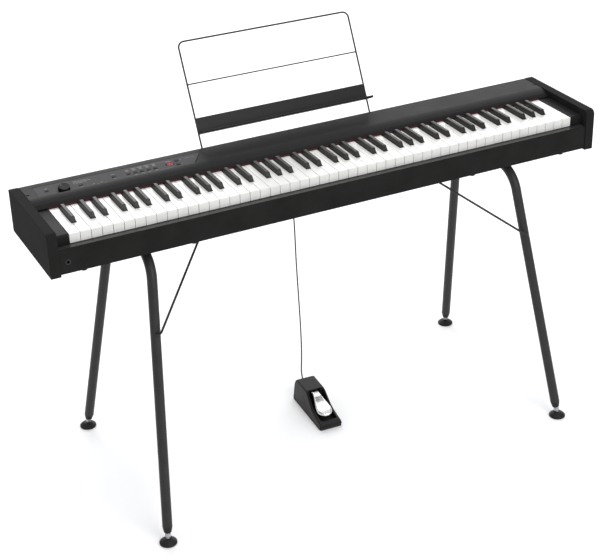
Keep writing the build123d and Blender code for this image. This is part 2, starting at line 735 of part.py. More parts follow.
LEG_CORNERS = {
    "front_left": (-1, -1),
    "front_right": (1, -1),
    "rear_left": (-1, 1),
    "rear_right": (1, 1),
}
with BuildPart() as leg_plugs:
    for side, end in LEG_CORNERS.values():
        with BuildSketch(leg_plane(side, end, TUBE_START)):
            Circle(TUBE_RADIUS)
        extrude(amount=PLUG_START - TUBE_START, taper=12)
        with BuildSketch(leg_plane(side, end, TUBE_START)):
            Circle(TUBE_RADIUS - TUBE_WALL - 0.1)
        extrude(amount=PLUG_END - TUBE_START)
        with BuildSketch(leg_plane(side, end, PLUG_START)):
            Circle(STUD_RADIUS + RUNNING_CLEARANCE)
        extrude(amount=PLUG_END - PLUG_START, mode=Mode.SUBTRACT)
keep(leg_plugs, "leg_plugs")


def levelling_foot(label, side, end):
    with BuildPart() as foot:
        start, direction = leg_axis(side, end)
        with BuildSketch(Plane(origin=(start.X, start.Y, 0), x_dir=(1, 0, 0), z_dir=(0, -1, 0))):
            with BuildLine():
                Polyline(
                    (0, 0),
                    (PAD_RADIUS - 1, 0),
                    (PAD_RADIUS, 1),
                    (PAD_RADIUS, 3.5),
                    (PAD_RADIUS - 6, PAD_TOP - 2),
                    (PAD_RADIUS - 9, PAD_TOP),
                    (0, PAD_TOP),
                    close=True,
                )
            make_face()
        revolve(axis=Axis((start.X, start.Y, 0), (0, 0, 1)))
        with BuildSketch(leg_plane(side, end, 0)):
            Circle(5.2)
        extrude(amount=30, mode=Mode.SUBTRACT)
        with BuildSketch(leg_plane(side, end, 0.2)):
            Circle(5)
        extrude(amount=NECK_START - 0.2)
        with BuildSketch(leg_plane(side, end, NECK_START)):
            RegularPolygon(7.3, 6)
        extrude(amount=NECK_END - NECK_START)
        with BuildSketch(leg_plane(side, end, NECK_END)):
            Circle(STUD_RADIUS)
        extrude(amount=PLUG_END - NECK_END)
    keep(foot, label)


for corner, (side, end) in LEG_CORNERS.items():
    levelling_foot(f"foot_{corner}", side, end)

with BuildPart() as case_feet:
    with BuildSketch(Plane.XY.offset(BOARD_BOTTOM)):
        with Locations(*[(x, y) for x in (-587, -344, 344, 587) for y in (-105, 105)]):
            Circle(8)
    extrude(amount=-10, taper=6)
keep(case_feet, "case_feet")

# ---- pedal ------------------------------------------------------------------------------
NOSE_DIRECTION = (Vector(*CORD_ROUTE[-2]) - Vector(*CORD_ROUTE[-1])).normalized()
NOSE_LENGTH = 19.0

with BuildPart() as pedal_housing:
    with BuildSketch(PEDAL_SIDE):
        with BuildLine():
            Line((PEDAL_HEEL, SOLE_TOP), (PEDAL_HEEL - 7, 51))
            TangentArc((PEDAL_HEEL - 7, 51), (PEDAL_HEEL - 18, PEDAL_TOP), tangent=(-0.15, 1))
            Line((PEDAL_HEEL - 18, PEDAL_TOP), (PEDAL_BROW, PEDAL_TOP - 1))
            Spline(
                (PEDAL_BROW, PEDAL_TOP - 1),
                (-2, 53),
                (-24, 33),
                (-60, 21),
                tangents=((-1, -0.1), (-1, -0.15)),
            )
            Line((-60, 21), (PEDAL_TOE + 5, 18))
            Line((PEDAL_TOE + 5, 18), (PEDAL_TOE, 13))
            Line((PEDAL_TOE, 13), (PEDAL_TOE, SOLE_TOP))
            Line((PEDAL_TOE, SOLE_TOP), (PEDAL_HEEL, SOLE_TOP))
        make_face()
    extrude(amount=40, both=True)
    with BuildSketch(PEDAL_FACE.offset(-PEDAL_HEEL)):
        with BuildLine():
            Polyline((-29, SOLE_TOP), (29, SOLE_TOP), (24, 70), (-24, 70), close=True)
        make_face()
    extrude(amount=PEDAL_HEEL - PEDAL_TOE, mode=Mode.INTERSECT)
    with BuildSketch(PEDAL_FLOOR.offset(9)):
        with Locations((0, PEDAL_BROW - 42)):
            Rectangle(CHANNEL_WIDTH, 84)
    extrude(amount=70, mode=Mode.SUBTRACT)
    with BuildSketch(PEDAL_FLOOR.offset(CAVITY_FLOOR)):
        with Locations((0, 37)):
            Rectangle(28, 60)
    extrude(amount=CAVITY_TOP - CAVITY_FLOOR, mode=Mode.SUBTRACT)
    with BuildSketch(Plane(origin=Vector(*CORD_ROUTE[-1]), z_dir=NOSE_DIRECTION)):
        Circle(3)
    extrude(amount=-NOSE_LENGTH, taper=-6)
    with BuildSketch(PEDAL_SIDE.offset(-25)):
        with Locations(PEDAL_PIVOT):
            Circle(PEDAL_PIN_RADIUS)
    extrude(amount=50, mode=Mode.SUBTRACT)
keep(pedal_housing, "pedal_housing")

with BuildPart() as pedal_sole:
    with BuildSketch(PEDAL_FLOOR):
        RectangleRounded(58, PEDAL_HEEL - PEDAL_TOE, 5)
    extrude(amount=SOLE_TOP)
keep(pedal_sole, "pedal_sole")

with BuildPart() as pedal_pin:
    with BuildSketch(PEDAL_SIDE.offset(-24.5)):
        with Locations(PEDAL_PIVOT):
            Circle(PEDAL_PIN_RADIUS)
    extrude(amount=49)
keep(pedal_pin, "pedal_pin")

LEVER_THICKNESS = 4.0
NECK_HALF = 9.5
SPOON_HALF = 19.0
with BuildPart() as pedal_lever:
    with BuildSketch(PEDAL_SIDE.offset(-SPOON_HALF - 1)):
        with BuildLine():
            Line((58, 45), (14, 54))
            Spline((14, 54), (-20, 43), (-63, 30), tangents=((-1, 0.02), (-1, -0.3)))
            Line((-63, 30), (-63, 30 - LEVER_THICKNESS))
            Spline((-63, 30 - LEVER_THICKNESS), (-20, 39), (14, 49), tangents=((1, 0.3), (1, -0.02)))
            Line((14, 49), (58, 40))
            Line((58, 40), (58, 45))
        make_face()
    extrude(amount=2 * SPOON_HALF + 2)
    with BuildSketch(PEDAL_FLOOR.offset(10)):
        with BuildLine():
            Line((-NECK_HALF, 60), (NECK_HALF, 60))
            Line((NECK_HALF, 60), (NECK_HALF, 10))
            Spline((NECK_HALF, 10), (12, -8), (SPOON_HALF, -43), tangents=((0.05, -1), (0.05, -1)))
            ThreePointArc((SPOON_HALF, -43), (0, -63), (-SPOON_HALF, -43))
            Spline((-SPOON_HALF, -43), (-12, -8), (-NECK_HALF, 10), tangents=((0.05, 1), (-0.05, 1)))
            Line((-NECK_HALF, 10), (-NECK_HALF, 60))
        make_face()
    extrude(amount=60, mode=Mode.INTERSECT)
    with BuildSketch(PEDAL_SIDE.offset(-8)):
        with Locations(PEDAL_PIVOT):
            Circle(6.5)
    extrude(amount=16)
    with BuildSketch(PEDAL_SIDE.offset(-20)):
        with Locations(PEDAL_PIVOT):
            Circle(PEDAL_PIN_RADIUS + RUNNING_CLEARANCE)
    extrude(amount=40, mode=Mode.SUBTRACT)
keep(pedal_lever, "pedal_lever")

PLUG_BODY_RADIUS = 7.0
with BuildPart() as pedal_plug:
    with BuildSketch(Plane.XY.offset(CORD_ROUTE[0][2] + 14)):
        with Locations((CORD_ROUTE[0][0], CORD_ROUTE[0][1])):
            Circle(PLUG_BODY_RADIUS)
    extrude(amount=28)
    with BuildSketch(Plane.XY.offset(CORD_ROUTE[0][2] + 14)):
        with Locations((CORD_ROUTE[0][0], CORD_ROUTE[0][1])):
            Circle(4.6)
    extrude(amount=-14, taper=8)
    with BuildSketch(Plane.XZ.offset(-CORD_ROUTE[0][1])):
        with Locations(JACK_AT):
            Circle(3.15)
    extrude(amount=34)
keep(pedal_plug, "pedal_plug")


def turn_radius(before, corner, after):
    """The largest arc that two runs leave room for, and its length and tangent length."""
    run_in = Vector(*corner) - Vector(*before)
    run_out = Vector(*after) - Vector(*corner)
    half_turn = math.radians(run_in.get_angle(run_out)) / 2
    return 0.45 * min(run_in.length, run_out.length) / math.tan(half_turn)


cord_radii = [turn_radius(*CORD_ROUTE[i - 1:i + 2]) for i in range(1, len(CORD_ROUTE) - 1)]
with BuildPart() as pedal_cord:
    with BuildLine() as cord_line:
        FilletPolyline(*CORD_ROUTE, radius=cord_radii)
    with BuildSketch(Plane(origin=cord_line.wire() @ 0, z_dir=cord_line.wire() % 0)):
        Circle(CORD_DIAMETER / 2)
    sweep(path=cord_line.wire())
keep(pedal_cord, "pedal_cord")

cord_section = math.pi * CORD_DIAMETER**2 / 4
print("cord radii", [round(radius) for radius in cord_radii])
print("cord length", round(cord_line.wire().length, 1))
print("cord volume over section x length", round(pedal_cord.part.volume / cord_section / cord_line.wire().length, 4))
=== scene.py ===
import math

import bmesh
import bpy
from mathutils import Matrix, Vector


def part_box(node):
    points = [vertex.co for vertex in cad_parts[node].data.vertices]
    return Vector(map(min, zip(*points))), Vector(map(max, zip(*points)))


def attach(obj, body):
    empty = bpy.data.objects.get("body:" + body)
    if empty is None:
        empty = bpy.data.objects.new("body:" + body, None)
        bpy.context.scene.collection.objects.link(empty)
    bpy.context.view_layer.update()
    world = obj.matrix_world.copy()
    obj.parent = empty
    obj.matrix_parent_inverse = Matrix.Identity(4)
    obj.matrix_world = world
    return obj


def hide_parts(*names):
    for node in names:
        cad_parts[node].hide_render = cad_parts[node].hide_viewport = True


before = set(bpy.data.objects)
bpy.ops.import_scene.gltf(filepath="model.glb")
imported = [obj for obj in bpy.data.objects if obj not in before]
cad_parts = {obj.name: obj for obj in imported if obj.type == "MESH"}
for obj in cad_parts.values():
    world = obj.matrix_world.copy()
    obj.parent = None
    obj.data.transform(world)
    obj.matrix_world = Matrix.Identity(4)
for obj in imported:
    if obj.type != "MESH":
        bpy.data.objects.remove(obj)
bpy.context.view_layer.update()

# Digital stage piano on a bent-tube stand, with a wire music rest and a damper pedal.
# Sizes are in millimetres and become metres in mm().

MM = 0.001


def mm(*values):
    """A point or a size given in millimetres."""
    return Vector(values) * MM


# ---- camera --------------------------------------------------------------------------
CAMERA_PLACE = mm(-1350.9, -2685.7, 2006.5)
CAMERA_YAW = math.radians(26.51)
CAMERA_PITCH = math.radians(-28.24)
CAMERA_ROLL = math.radians(-1.46)
CAMERA_LENS = 88.22
CAMERA_SHIFT = (-0.0245, 0.0025)


def stand_camera():
    forward = Vector((
        math.sin(CAMERA_YAW) * math.cos(CAMERA_PITCH),
        math.cos(CAMERA_YAW) * math.cos(CAMERA_PITCH),
        math.sin(CAMERA_PITCH),
    ))
    level_right = Vector((math.cos(CAMERA_YAW), -math.sin(CAMERA_YAW), 0))
    level_up = level_right.cross(forward)
    right = math.cos(CAMERA_ROLL) * level_right + math.sin(CAMERA_ROLL) * level_up
    up = math.cos(CAMERA_ROLL) * level_up - math.sin(CAMERA_ROLL) * level_right
    bpy.ops.object.camera_add()
    camera = bpy.context.active_object
    camera.name = "studio_camera"
    turn = Matrix((right, up, -forward)).transposed().to_4x4()
    camera.matrix_world = Matrix.Translation(CAMERA_PLACE) @ turn
    camera.data.sensor_width = 36
    camera.data.lens = CAMERA_LENS
    camera.data.shift_x, camera.data.shift_y = CAMERA_SHIFT
    camera.data.clip_start, camera.data.clip_end = 0.05, 50
    bpy.context.scene.camera = camera


stand_camera()

# ---- modelling helpers ---------------------------------------------------------------
SHARP_ANGLE = math.radians(32)


def put_down():
    """Leave edit mode and deselect everything."""
    if bpy.context.object and bpy.context.object.mode == "EDIT":
        bpy.ops.object.mode_set(mode="OBJECT")
    bpy.ops.object.select_all(action="DESELECT")


def choose(piece):
    """Make one piece the only selected one."""
    put_down()
    piece.select_set(True)
    bpy.context.view_layer.objects.active = piece


def settle(piece):
    """Put the piece's place, turn and scale into its mesh."""
    choose(piece)
    bpy.ops.object.transform_apply(location=True, rotation=True, scale=True)
    return piece


def named(name):
    piece = bpy.context.active_object
    piece.name = name
    piece.data.name = name
    return piece


def block(name, low, high):
    """A cube primitive stretched between two corners."""
    low, high = mm(*low), mm(*high)
    put_down()
    bpy.ops.mesh.primitive_cube_add(size=1, location=(low + high) / 2)
    piece = named(name)
    piece.scale = high - low
    return settle(piece)


def pick(piece, kind, test=lambda part: True):
    """In edit mode, select only the faces, edges or vertices that pass a test."""
    if piece.mode != "EDIT":
        choose(piece)
        bpy.ops.object.mode_set(mode="EDIT")
    bpy.ops.mesh.select_mode(type=kind)
    bpy.ops.mesh.select_all(action="DESELECT")
    shape = bmesh.from_edit_mesh(piece.data)
    parts = {"VERT": shape.verts, "EDGE": shape.edges, "FACE": shape.faces}[kind]
    for part in parts:
        if test(part):
            part.select_set(True)
    shape.select_flush_mode()
    bmesh.update_edit_mesh(piece.data)


def at(value, target, reach=0.02):
    """True where a measure in metres is a target in millimetres."""
    return abs(value - target * MM) < reach * MM


def lying_at(x=None, y=None, z=None):
    """A test for vertices, edges or faces that lie wholly at the given coordinates."""
    wanted = [(axis, value) for axis, value in enumerate((x, y, z)) if value is not None]

    def lies(part):
        corners = [part] if isinstance(part, bmesh.types.BMVert) else part.verts
        return all(at(v.co[axis], value) for v in corners for axis, value in wanted)

    return lies


def facing(x=0, y=0, z=0):
    """A test for faces that look one way."""
    way = Vector((x, y, z)).normalized()
    return lambda face: face.normal.dot(way) > 0.999


def extrude(x=0.0, y=0.0, z=0.0):
    bpy.ops.mesh.extrude_region_move(TRANSFORM_OT_translate={"value": mm(x, y, z)})


def move(x=0.0, y=0.0, z=0.0):
    bpy.ops.transform.translate(value=mm(x, y, z))


def stretch(scale, centre):
    bpy.ops.transform.resize(value=scale, center_override=mm(*centre))


def inset(thickness, each=False):
    bpy.ops.mesh.inset(thickness=thickness * MM, use_individual=each)


def slice_at(piece, axis, *values):
    """Cut the whole mesh across, so that it has a row of vertices at each value."""
    normal = [0, 0, 0]
    normal[axis] = 1
    for value in values:
        pick(piece, "FACE")
        point = [0, 0, 0]
        point[axis] = value
        bpy.ops.mesh.bisect(plane_co=mm(*point), plane_no=normal)


def round_over(radius, segments=4, profile=0.5):
    bpy.ops.mesh.bevel(offset=radius * MM, segments=segments, profile=profile, affect="EDGES")


def round_corners(piece, radius, segments):
    """Round the upright edges of a block."""
    pick(piece, "EDGE", lambda e: abs((e.verts[0].co - e.verts[1].co).z) > 0.04 * MM)
    round_over(radius, segments)
    put_down()
    return piece


def apply_modifier(piece, kind, **settings):
    choose(piece)
    modifier = piece.modifiers.new(kind.lower(), kind)
    for name, value in settings.items():
        setattr(modifier, name, value)
    bpy.ops.object.modifier_apply(modifier=modifier.name)
    return piece


def carve(piece, cutter, operation="DIFFERENCE"):
    """Boolean with a tool piece, which is then thrown away."""
    apply_modifier(piece, "BOOLEAN", operation=operation, object=cutter, solver="EXACT")
    bpy.data.objects.remove(cutter)
    return piece


def soften(piece, radius, segments=2):
    """A small round on every sharp edge."""
    return apply_modifier(
        piece, "BEVEL", width=radius * MM, segments=segments, limit_method="ANGLE",
        angle_limit=math.radians(40), harden_normals=False, miter_outer="MITER_ARC",
    )


def join(name, pieces):
    choose(pieces[0])
    for piece in pieces[1:]:
        piece.select_set(True)
    if len(pieces) > 1:
        bpy.ops.object.join()
    return named(name)


def copy_to(piece, name, x=0.0, y=0.0, z=0.0):
    """A copy with its own mesh, moved in the mesh."""
    choose(piece)
    bpy.ops.object.duplicate(linked=False)
    twin = named(name)
    twin.location = mm(x, y, z)
    return settle(twin)


def face_outwards(piece):
    pick(piece, "FACE")
    bpy.ops.mesh.remove_doubles(threshold=0.00001)
    bpy.ops.mesh.normals_make_consistent(inside=False)
    put_down()


def turned(name, start, direction, profile, sides=32):
    """A ring drawn along an axis and resized at each step, as on a lathe.
    The profile is (distance along the axis, radius), and its open ends are filled."""
    direction = Vector(direction).normalized()
    start = Vector(start)
    put_down()
    bpy.ops.mesh.primitive_circle_add(
        vertices=sides, radius=profile[0][1] * MM,
        location=(start + direction * profile[0][0]) * MM,
        rotation=direction.to_track_quat("Z", "Y").to_euler(),
    )
    piece = settle(named(name))
    bpy.ops.object.mode_set(mode="EDIT")
    bpy.ops.mesh.select_all(action="SELECT")
    bpy.ops.mesh.edge_face_add()
    bpy.ops.mesh.select_all(action="SELECT")
    for (before, radius), (after, wider) in zip(profile, profile[1:]):
        extrude(*(direction * (after - before)))
        stretch((wider / radius,) * 3, start + direction * after)
    face_outwards(piece)
    return piece


def bent_tube(name, route, radius, bends, sides=24, steps=12, capped=True):
    """A ring pulled along each straight run and spun about the centre of each bend."""
    route = [Vector(point) for point in route]
    runs = [(b - a).normalized() for a, b in zip(route, route[1:])]
    put_down()
    bpy.ops.mesh.primitive_circle_add(
        vertices=sides, radius=radius * MM, location=route[0] * MM,
        rotation=runs[0].to_track_quat("Z", "Y").to_euler(),
    )
    piece = settle(named(name))
    bpy.ops.object.mode_set(mode="EDIT")
    bpy.ops.mesh.select_mode(type="EDGE")
    bpy.ops.mesh.select_all(action="SELECT")
    if capped:
        bpy.ops.mesh.edge_face_add()
        bpy.ops.mesh.select_all(action="SELECT")
    place = route[0]
    for corner, bend, run_in, run_out in zip(route[1:-1], bends, runs, runs[1:]):
        turn = run_in.angle(run_out)
        tangent = bend * math.tan(turn / 2)
        extrude(*(corner - run_in * tangent - place))
        axis = run_in.cross(run_out).normalized()
        centre = corner - run_in * tangent + axis.cross(run_in) * bend
        bpy.ops.mesh.spin(steps=steps, angle=-turn, center=centre * MM, axis=axis)
        place = corner + run_out * tangent
    extrude(*(route[-1] - place))
    face_outwards(piece)
    return piece


def fit(piece, body, finish, slot, *nodes, smooth=True):
    """Shade the piece, give it its finish, and let it ride in place of CAD nodes."""
    choose(piece)
    if smooth:
        bpy.ops.object.shade_smooth_by_angle(angle=SHARP_ANGLE)
        apply_modifier(piece, "WEIGHTED_NORMAL", keep_sharp=True, weight=80)
    piece.data.materials.clear()
    piece.data.materials.append(finish)
    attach(piece, body)
    if nodes:
        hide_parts(*nodes)
    return piece


def span(node):
    """A CAD node's lowest and highest corners, in millimetres."""
    low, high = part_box(node)
    return low / MM, high / MM


# ---- finishes ------------------------------------------------------------------------
def linear(hex_colour):
    """An sRGB hex colour as the linear values that the shader takes."""
    channels = [int(hex_colour[i:i + 2], 16) / 255 for i in (1, 3, 5)]
    return [c / 12.92 if c <= 0.04045 else ((c + 0.055) / 1.055) ** 2.4 for c in channels] + [1]


def add_node(material, kind, feeds=(), **settings):
    """Add a node with its settings; feeds gives each input a value or another node's output."""
    node = material.node_tree.nodes.new(kind)
    for name, value in settings.items():
        setattr(node, name, value)
    for socket, value in dict(feeds).items():
        if isinstance(value, bpy.types.NodeSocket):
            material.node_tree.links.new(value, node.inputs[socket])
        else:
            node.inputs[socket].default_value = value
    return node


def surface(name, dark, light, patch, roughness, grain, height, cells=False,
            drawn=(1, 1, 1), **sockets):
    """A finish whose colour drifts between two tones in patches, whose gloss drifts with it,
    and whose relief is a fine grain. patch, grain and height are real sizes in millimetres,
    and drawn lengthens the pattern along an axis where it is under one."""
    material = bpy.data.materials.new(name)
    material.use_nodes = True
    shader = material.node_tree.nodes["Principled BSDF"]
    for socket, value in sockets.items():
        shader.inputs[socket.replace("_", " ")].default_value = value
    place = add_node(material, "ShaderNodeTexCoord").outputs["Object"]
    laid = add_node(material, "ShaderNodeMapping", {"Vector": place, "Scale": drawn}).outputs[0]
    patches = add_node(material, "ShaderNodeTexNoise", {
        "Vector": laid, "Scale": 1 / (patch * MM), "Detail": 4, "Roughness": 0.6,
    }).outputs["Fac"]
    drift = add_node(material, "ShaderNodeMapRange", {
        "Value": patches, "From Min": 0.3, "From Max": 0.7,
    }).outputs[0]
    tone = add_node(material, "ShaderNodeMix", {0: drift, 6: linear(dark), 7: linear(light)},
                    data_type="RGBA").outputs[2]
    gloss = add_node(material, "ShaderNodeMapRange", {
        "Value": drift, "To Min": roughness[0], "To Max": roughness[1],
    }).outputs[0]
    if cells:
        relief = add_node(material, "ShaderNodeTexVoronoi", {
            "Vector": laid, "Scale": 1 / (grain * MM),
        }, feature="SMOOTH_F1").outputs["Distance"]
    else:
        relief = add_node(material, "ShaderNodeTexNoise", {
            "Vector": laid, "Scale": 1 / (grain * MM), "Detail": 3,
        }).outputs["Fac"]
    bump = add_node(material, "ShaderNodeBump", {
        "Height": relief, "Distance": height * MM, "Strength": 0.8,
    }).outputs[0]
    links = material.node_tree.links
    links.new(tone, shader.inputs["Base Color"])
    links.new(gloss, shader.inputs["Roughness"])
    links.new(bump, shader.inputs["Normal"])
    return material


# PVC foil wrapped on the case boards: matte black with a pebbled emboss, so lights spread
# into a soft grey sheen. The real pebbles are 0.4 mm; drawn at 1.6 mm so that they show.
vinyl_foil = surface("pvc_foil_on_board", "#1d1d1c", "#242423", 60, (0.66, 0.76), 1.6, 0.05,
                     cells=True, Specular_IOR_Level=0.04)

# Black edge band ironed along the rail's top, under the keys' lips: smoother than the foil, so that it picks
# up a light line towards the treble. Its grey, lighter than the foil's, is partly a painted reflection of
# the white keys' fronts.
band_finish_and_painted_reflection = surface("satin_band_and_painted_reflection", "#2b2b2a", "#333331", 70, (0.26, 0.36), 1.2, 0.01)

# Injection-moulded ABS cover with spark-eroded grain: a little smoother than the foil,
# which gives the long rolled front its dark gloss line.
cover_abs = surface("grained_abs_cover", "#181817", "#1f1e1d", 90, (0.42, 0.52), 1.2, 0.03,
                    Specular_IOR_Level=0.08)

# Screen-printed polycarbonate-faced plate: a lighter charcoal with a fine satin grain.
panel_plate = surface("satin_control_plate", "#3e3e3f", "#454546", 40, (0.36, 0.46), 1.0, 0.02,
                      Specular_IOR_Level=0.25)

# The screen-printed ink: flat warm grey-white, slightly worn where fingers pass.
print_ink = surface("panel_print_ink", "#8f8f8c", "#a8a8a4", 6, (0.5, 0.65), 1.5, 0.01)

# Red screen-printed ink on the panel's accent marks.
accent_ink = surface("red_print_ink", "#8a2f30", "#a33a3a", 6, (0.5, 0.65), 1.5, 0.01)

# Glossy natural-key acrylic: a cool ivory white with a clear specular layer, and faint long
# rubs from playing that run along the key.
white_keytop = surface("natural_key_acrylic", "#d6d5d1", "#e0dfdb", 30, (0.16, 0.26), 5, 0.006,
                       drawn=(1, 0.15, 1), Coat_Weight=0.3, Coat_Roughness=0.08)

# Sharp-key resin imitating ebony: matte warm black with fine pores drawn out along the key.
black_keytop = surface("ebony_resin", "#171513", "#211f1c", 12, (0.34, 0.46), 1.2, 0.04,
                       drawn=(1, 0.08, 1), Specular_IOR_Level=0.35)

# Pressed wool felt: deep red with a soft fuzz that catches light at grazing angles.
red_felt = surface("wool_felt", "#3a050d", "#540b17", 3, (0.85, 0.97), 0.9, 0.25,
                   Sheen_Weight=0.3, Sheen_Roughness=0.5, Sheen_Tint=linear("#c25562"))

# Powder-coated steel tube: satin charcoal with a slight orange peel of about 1.5 mm.
powder_coat = surface("powder_coated_tube", "#222120", "#2a2928", 25, (0.38, 0.5), 1.5, 0.035,
                      Specular_IOR_Level=0.3)

# Painted spring-steel wire: near-black semi-gloss, smooth enough for a thin bright line.
wire_paint = surface("painted_wire", "#181717", "#211f1f", 15, (0.32, 0.45), 1.0, 0.01,
                     Specular_IOR_Level=0.35)

# Folded sheet steel of the rest's ledge, in the same satin black.
ledge_paint = surface("painted_sheet", "#161616", "#1d1d1d", 30, (0.38, 0.5), 1.2, 0.02,
                      Specular_IOR_Level=0.25)

# Bright zinc plate on turned steel: cool grey metal with cloudy patches.
zinc_plate = surface("zinc_plated_steel", "#8d9092", "#b4b6b7", 4, (0.22, 0.4), 0.8, 0.01, Metallic=1.0)

# Chrome plate on the pedal's spoon, brushed before plating: bright, with soft reflections.
chrome = surface("chrome_plate", "#dcdddd", "#f0f0f0", 14, (0.14, 0.24), 6, 0.004,
                 drawn=(1, 0.4, 1), Metallic=1.0)

# Moulded ABS of the pedal's housing: warm dark grey, satin, with a fine spark-eroded grain.
pedal_abs = surface("pedal_housing_abs", "#191917", "#21211f", 35, (0.34, 0.46), 1.0, 0.03,
                    Specular_IOR_Level=0.15)

# Natural rubber of soles and glides: dull and chalky in patches.
sole_rubber = surface("moulded_rubber", "#161616", "#222120", 8, (0.7, 0.9), 1.0, 0.06)

# Hard black polypropylene of the levelling pads and tube plugs: smooth, low gloss.
pad_plastic = surface("levelling_pad_plastic", "#141414", "#1c1c1c", 10, (0.4, 0.55), 0.8, 0.02,
                      Specular_IOR_Level=0.25)

# Rubberised drum of the volume knob: dark and dull, with a little dust-grey in its grain.
knob_rubber = surface("soft_touch_knob", "#101010", "#171717", 6, (0.45, 0.6), 0.6, 0.02,
                      Specular_IOR_Level=0.25)

# Moulded caps of the buttons: a shade lighter than the plate's shadow, satin on top.
button_abs = surface("button_cap_abs", "#2a2a2b", "#343435", 5, (0.4, 0.52), 0.6, 0.015,
                     Specular_IOR_Level=0.25)

# PVC sheath of the pedal's cord: dark and slightly waxy.
cord_pvc = surface("cord_pvc", "#232322", "#2f2e2d", 10, (0.42, 0.58), 1.0, 0.03,
                   Specular_IOR_Level=0.3)

# Softer PVC moulded over the plug and the cord's reliefs: darker and duller than the sheath.
plug_pvc = surface("plug_overmould", "#141414", "#1e1e1e", 8, (0.45, 0.6), 0.9, 0.03)

# Black nylon sleeves of the jacks: a small satin ring about a dark hole.
jack_nylon = surface("jack_nylon", "#0f0f0f", "#181818", 6, (0.35, 0.5), 0.8, 0.02)

# Hardboard with black melamine backing, seen from below: fibres show through faintly.
board_backing = surface("melamine_backing", "#1d1c1b", "#2a2826", 18, (0.55, 0.72), 1.5, 0.05,
                        drawn=(0.3, 1, 1))

# Galvanised sheet steel of the key bed, out of sight inside the case.
bed_steel = surface("galvanised_sheet", "#7d8183", "#a3a6a8", 14, (0.32, 0.5), 4, 0.02, cells=True,
                    Metallic=1.0)

# Glass-fibre circuit board under a green solder mask.
board_laminate = surface("solder_masked_laminate", "#123a20", "#1c5230", 7, (0.3, 0.45), 1.2, 0.03)

# Smoked acrylic window over the display: nearly black and glossy.
display_acrylic = surface("smoked_acrylic", "#0c0709", "#140b0d", 12, (0.08, 0.16), 4, 0.003,
                          Coat_Weight=0.5, Coat_Roughness=0.05)

# Lit red segments of the display, bright enough to glow pink in daylight.
segment_light = surface("lit_red_segments", "#c8353a", "#e2464a", 3, (0.4, 0.5), 1.0, 0.005,
                        Emission_Color=linear("#ff3038"), Emission_Strength=1.2)

# ---- pedal cord: one smooth line from the nose of the pedal up to its plug -------------
CORD_DIAMETER = 3.4
CORD_ROUTE = [
    (2.0, 136.0, 638.0), (2.5, 136.5, 592.0), (4.5, 137.5, 538.0), (7.5, 139.5, 484.0),
    (10.0, 141.5, 430.0), (11.5, 143.5, 376.0), (14.0, 145.0, 322.0), (17.0, 147.0, 268.0),
    (19.8, 149.0, 214.0), (22.3, 151.5, 160.0), (24.2, 154.5, 112.0), (24.2, 157.5, 72.0),
    (21.4, 155.0, 44.0), (18.1, 137.5, 30.5),
]


def pedal_cord():
    line = bpy.data.curves.new("pedal_cord_line", "CURVE")
    line.dimensions = "3D"
    line.bevel_depth = CORD_DIAMETER / 2 * MM
    line.bevel_resolution = 5
    line.resolution_u = 10
    spline = line.splines.new("NURBS")
    spline.points.add(len(CORD_ROUTE) - 1)
    for point, place in zip(spline.points, reversed(CORD_ROUTE)):
        point.co = (*mm(*place), 1)
    spline.order_u = 3
    spline.use_endpoint_u = True
    cord = bpy.data.objects.new("pedal_cord_line", line)
    bpy.context.scene.collection.objects.link(cord)
    line.materials.append(cord_pvc)
    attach(cord, "piano")
    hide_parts("pedal_cord")
    return cord


cord_line = pedal_cord()

# ---- case ----------------------------------------------------------------------------
case_high = span("top_panel")[1]
CASE_TOP = case_high.z
HALF_INSIDE = case_high.x


def side_cheek(node):
    """A thick end board with a rounded front top corner, wrapped in foil."""
    low, high = span(node)
    cheek = block(f"{node}_board", low, high)
    pick(cheek, "EDGE", lying_at(y=low.y, z=high.z))
    round_over(11, 10)
    pick(cheek, "EDGE", lying_at(y=high.y, z=low.z))
    round_over(4, 1)
    soften(cheek, 0.8, 3)
    fit(cheek, "piano", vinyl_foil, "case_vinyl", node)


side_cheek("left_cheek")
side_cheek("right_cheek")

PHONE_JACKS = [(-624.0, 655.0)]
LINE_JACK_Z = 672.7
LINE_JACKS = [(x, LINE_JACK_Z) for x in (2.0, 36.0, 70.0)]
JACK_HOLE = 6.1
BAND = 0.5


def bore(x, y, z, radius, length, direction, sides=32):
    """A round cutter that starts at a point."""
    return turned("bore", (x, y, z), direction, [(0, radius), (length, radius)], sides)


def front_rail():
    low, high = span("front_rail")
    rail = block("front_rail_board", low, high)
    pick(rail, "EDGE", lying_at(y=low.y, z=high.z))
    round_over(3, 4)
    carve(rail, block("rebate", (low.x - 1, low.y + 3, high.z - BAND), (high.x + 1, high.y + 1, high.z + 1)))
    for x, z in PHONE_JACKS:
        carve(rail, bore(x, low.y - 1, z, JACK_HOLE, 19, (0, 1, 0)))
    soften(rail, 0.5)
    fit(rail, "piano", vinyl_foil, "case_vinyl", "front_rail")
    # The band's lighter grey along the rail's top is partly a painted reflection of the white keys' fronts.
    band = block("rail_band_and_painted_reflection", (low.x + 0.5, low.y + 3, high.z - BAND), high - Vector((0.5, 0.2, 0)))
    fit(soften(band, 0.15), "piano", band_finish_and_painted_reflection, "case_vinyl", "front_rail")


front_rail()


def key_end_blocks():
    """The blocks that close the keybed at each end, rounded where a hand meets them."""
    low, high = span("key_blocks")
    inner = KEY_HALF_SPAN + 1.4
    blocks = []
    for side in (-1, 1):
        near, far = sorted((side * inner, side * high.x))
        end_block = block("end_block", (near, low.y, low.z), (far, high.y, high.z))
        pick(end_block, "EDGE", lying_at(y=low.y, z=high.z))
        round_over(5, 6)
        soften(end_block, 0.5)
        blocks.append(end_block)
    fit(join("key_end_blocks", blocks), "piano", cover_abs, "case_plastic", "key_blocks")


KEY_PITCH = span("white_key_d")[0].x - span("white_key_c")[0].x
WHITE_COUNT = 52
KEY_HALF_SPAN = WHITE_COUNT * KEY_PITCH / 2
key_end_blocks()

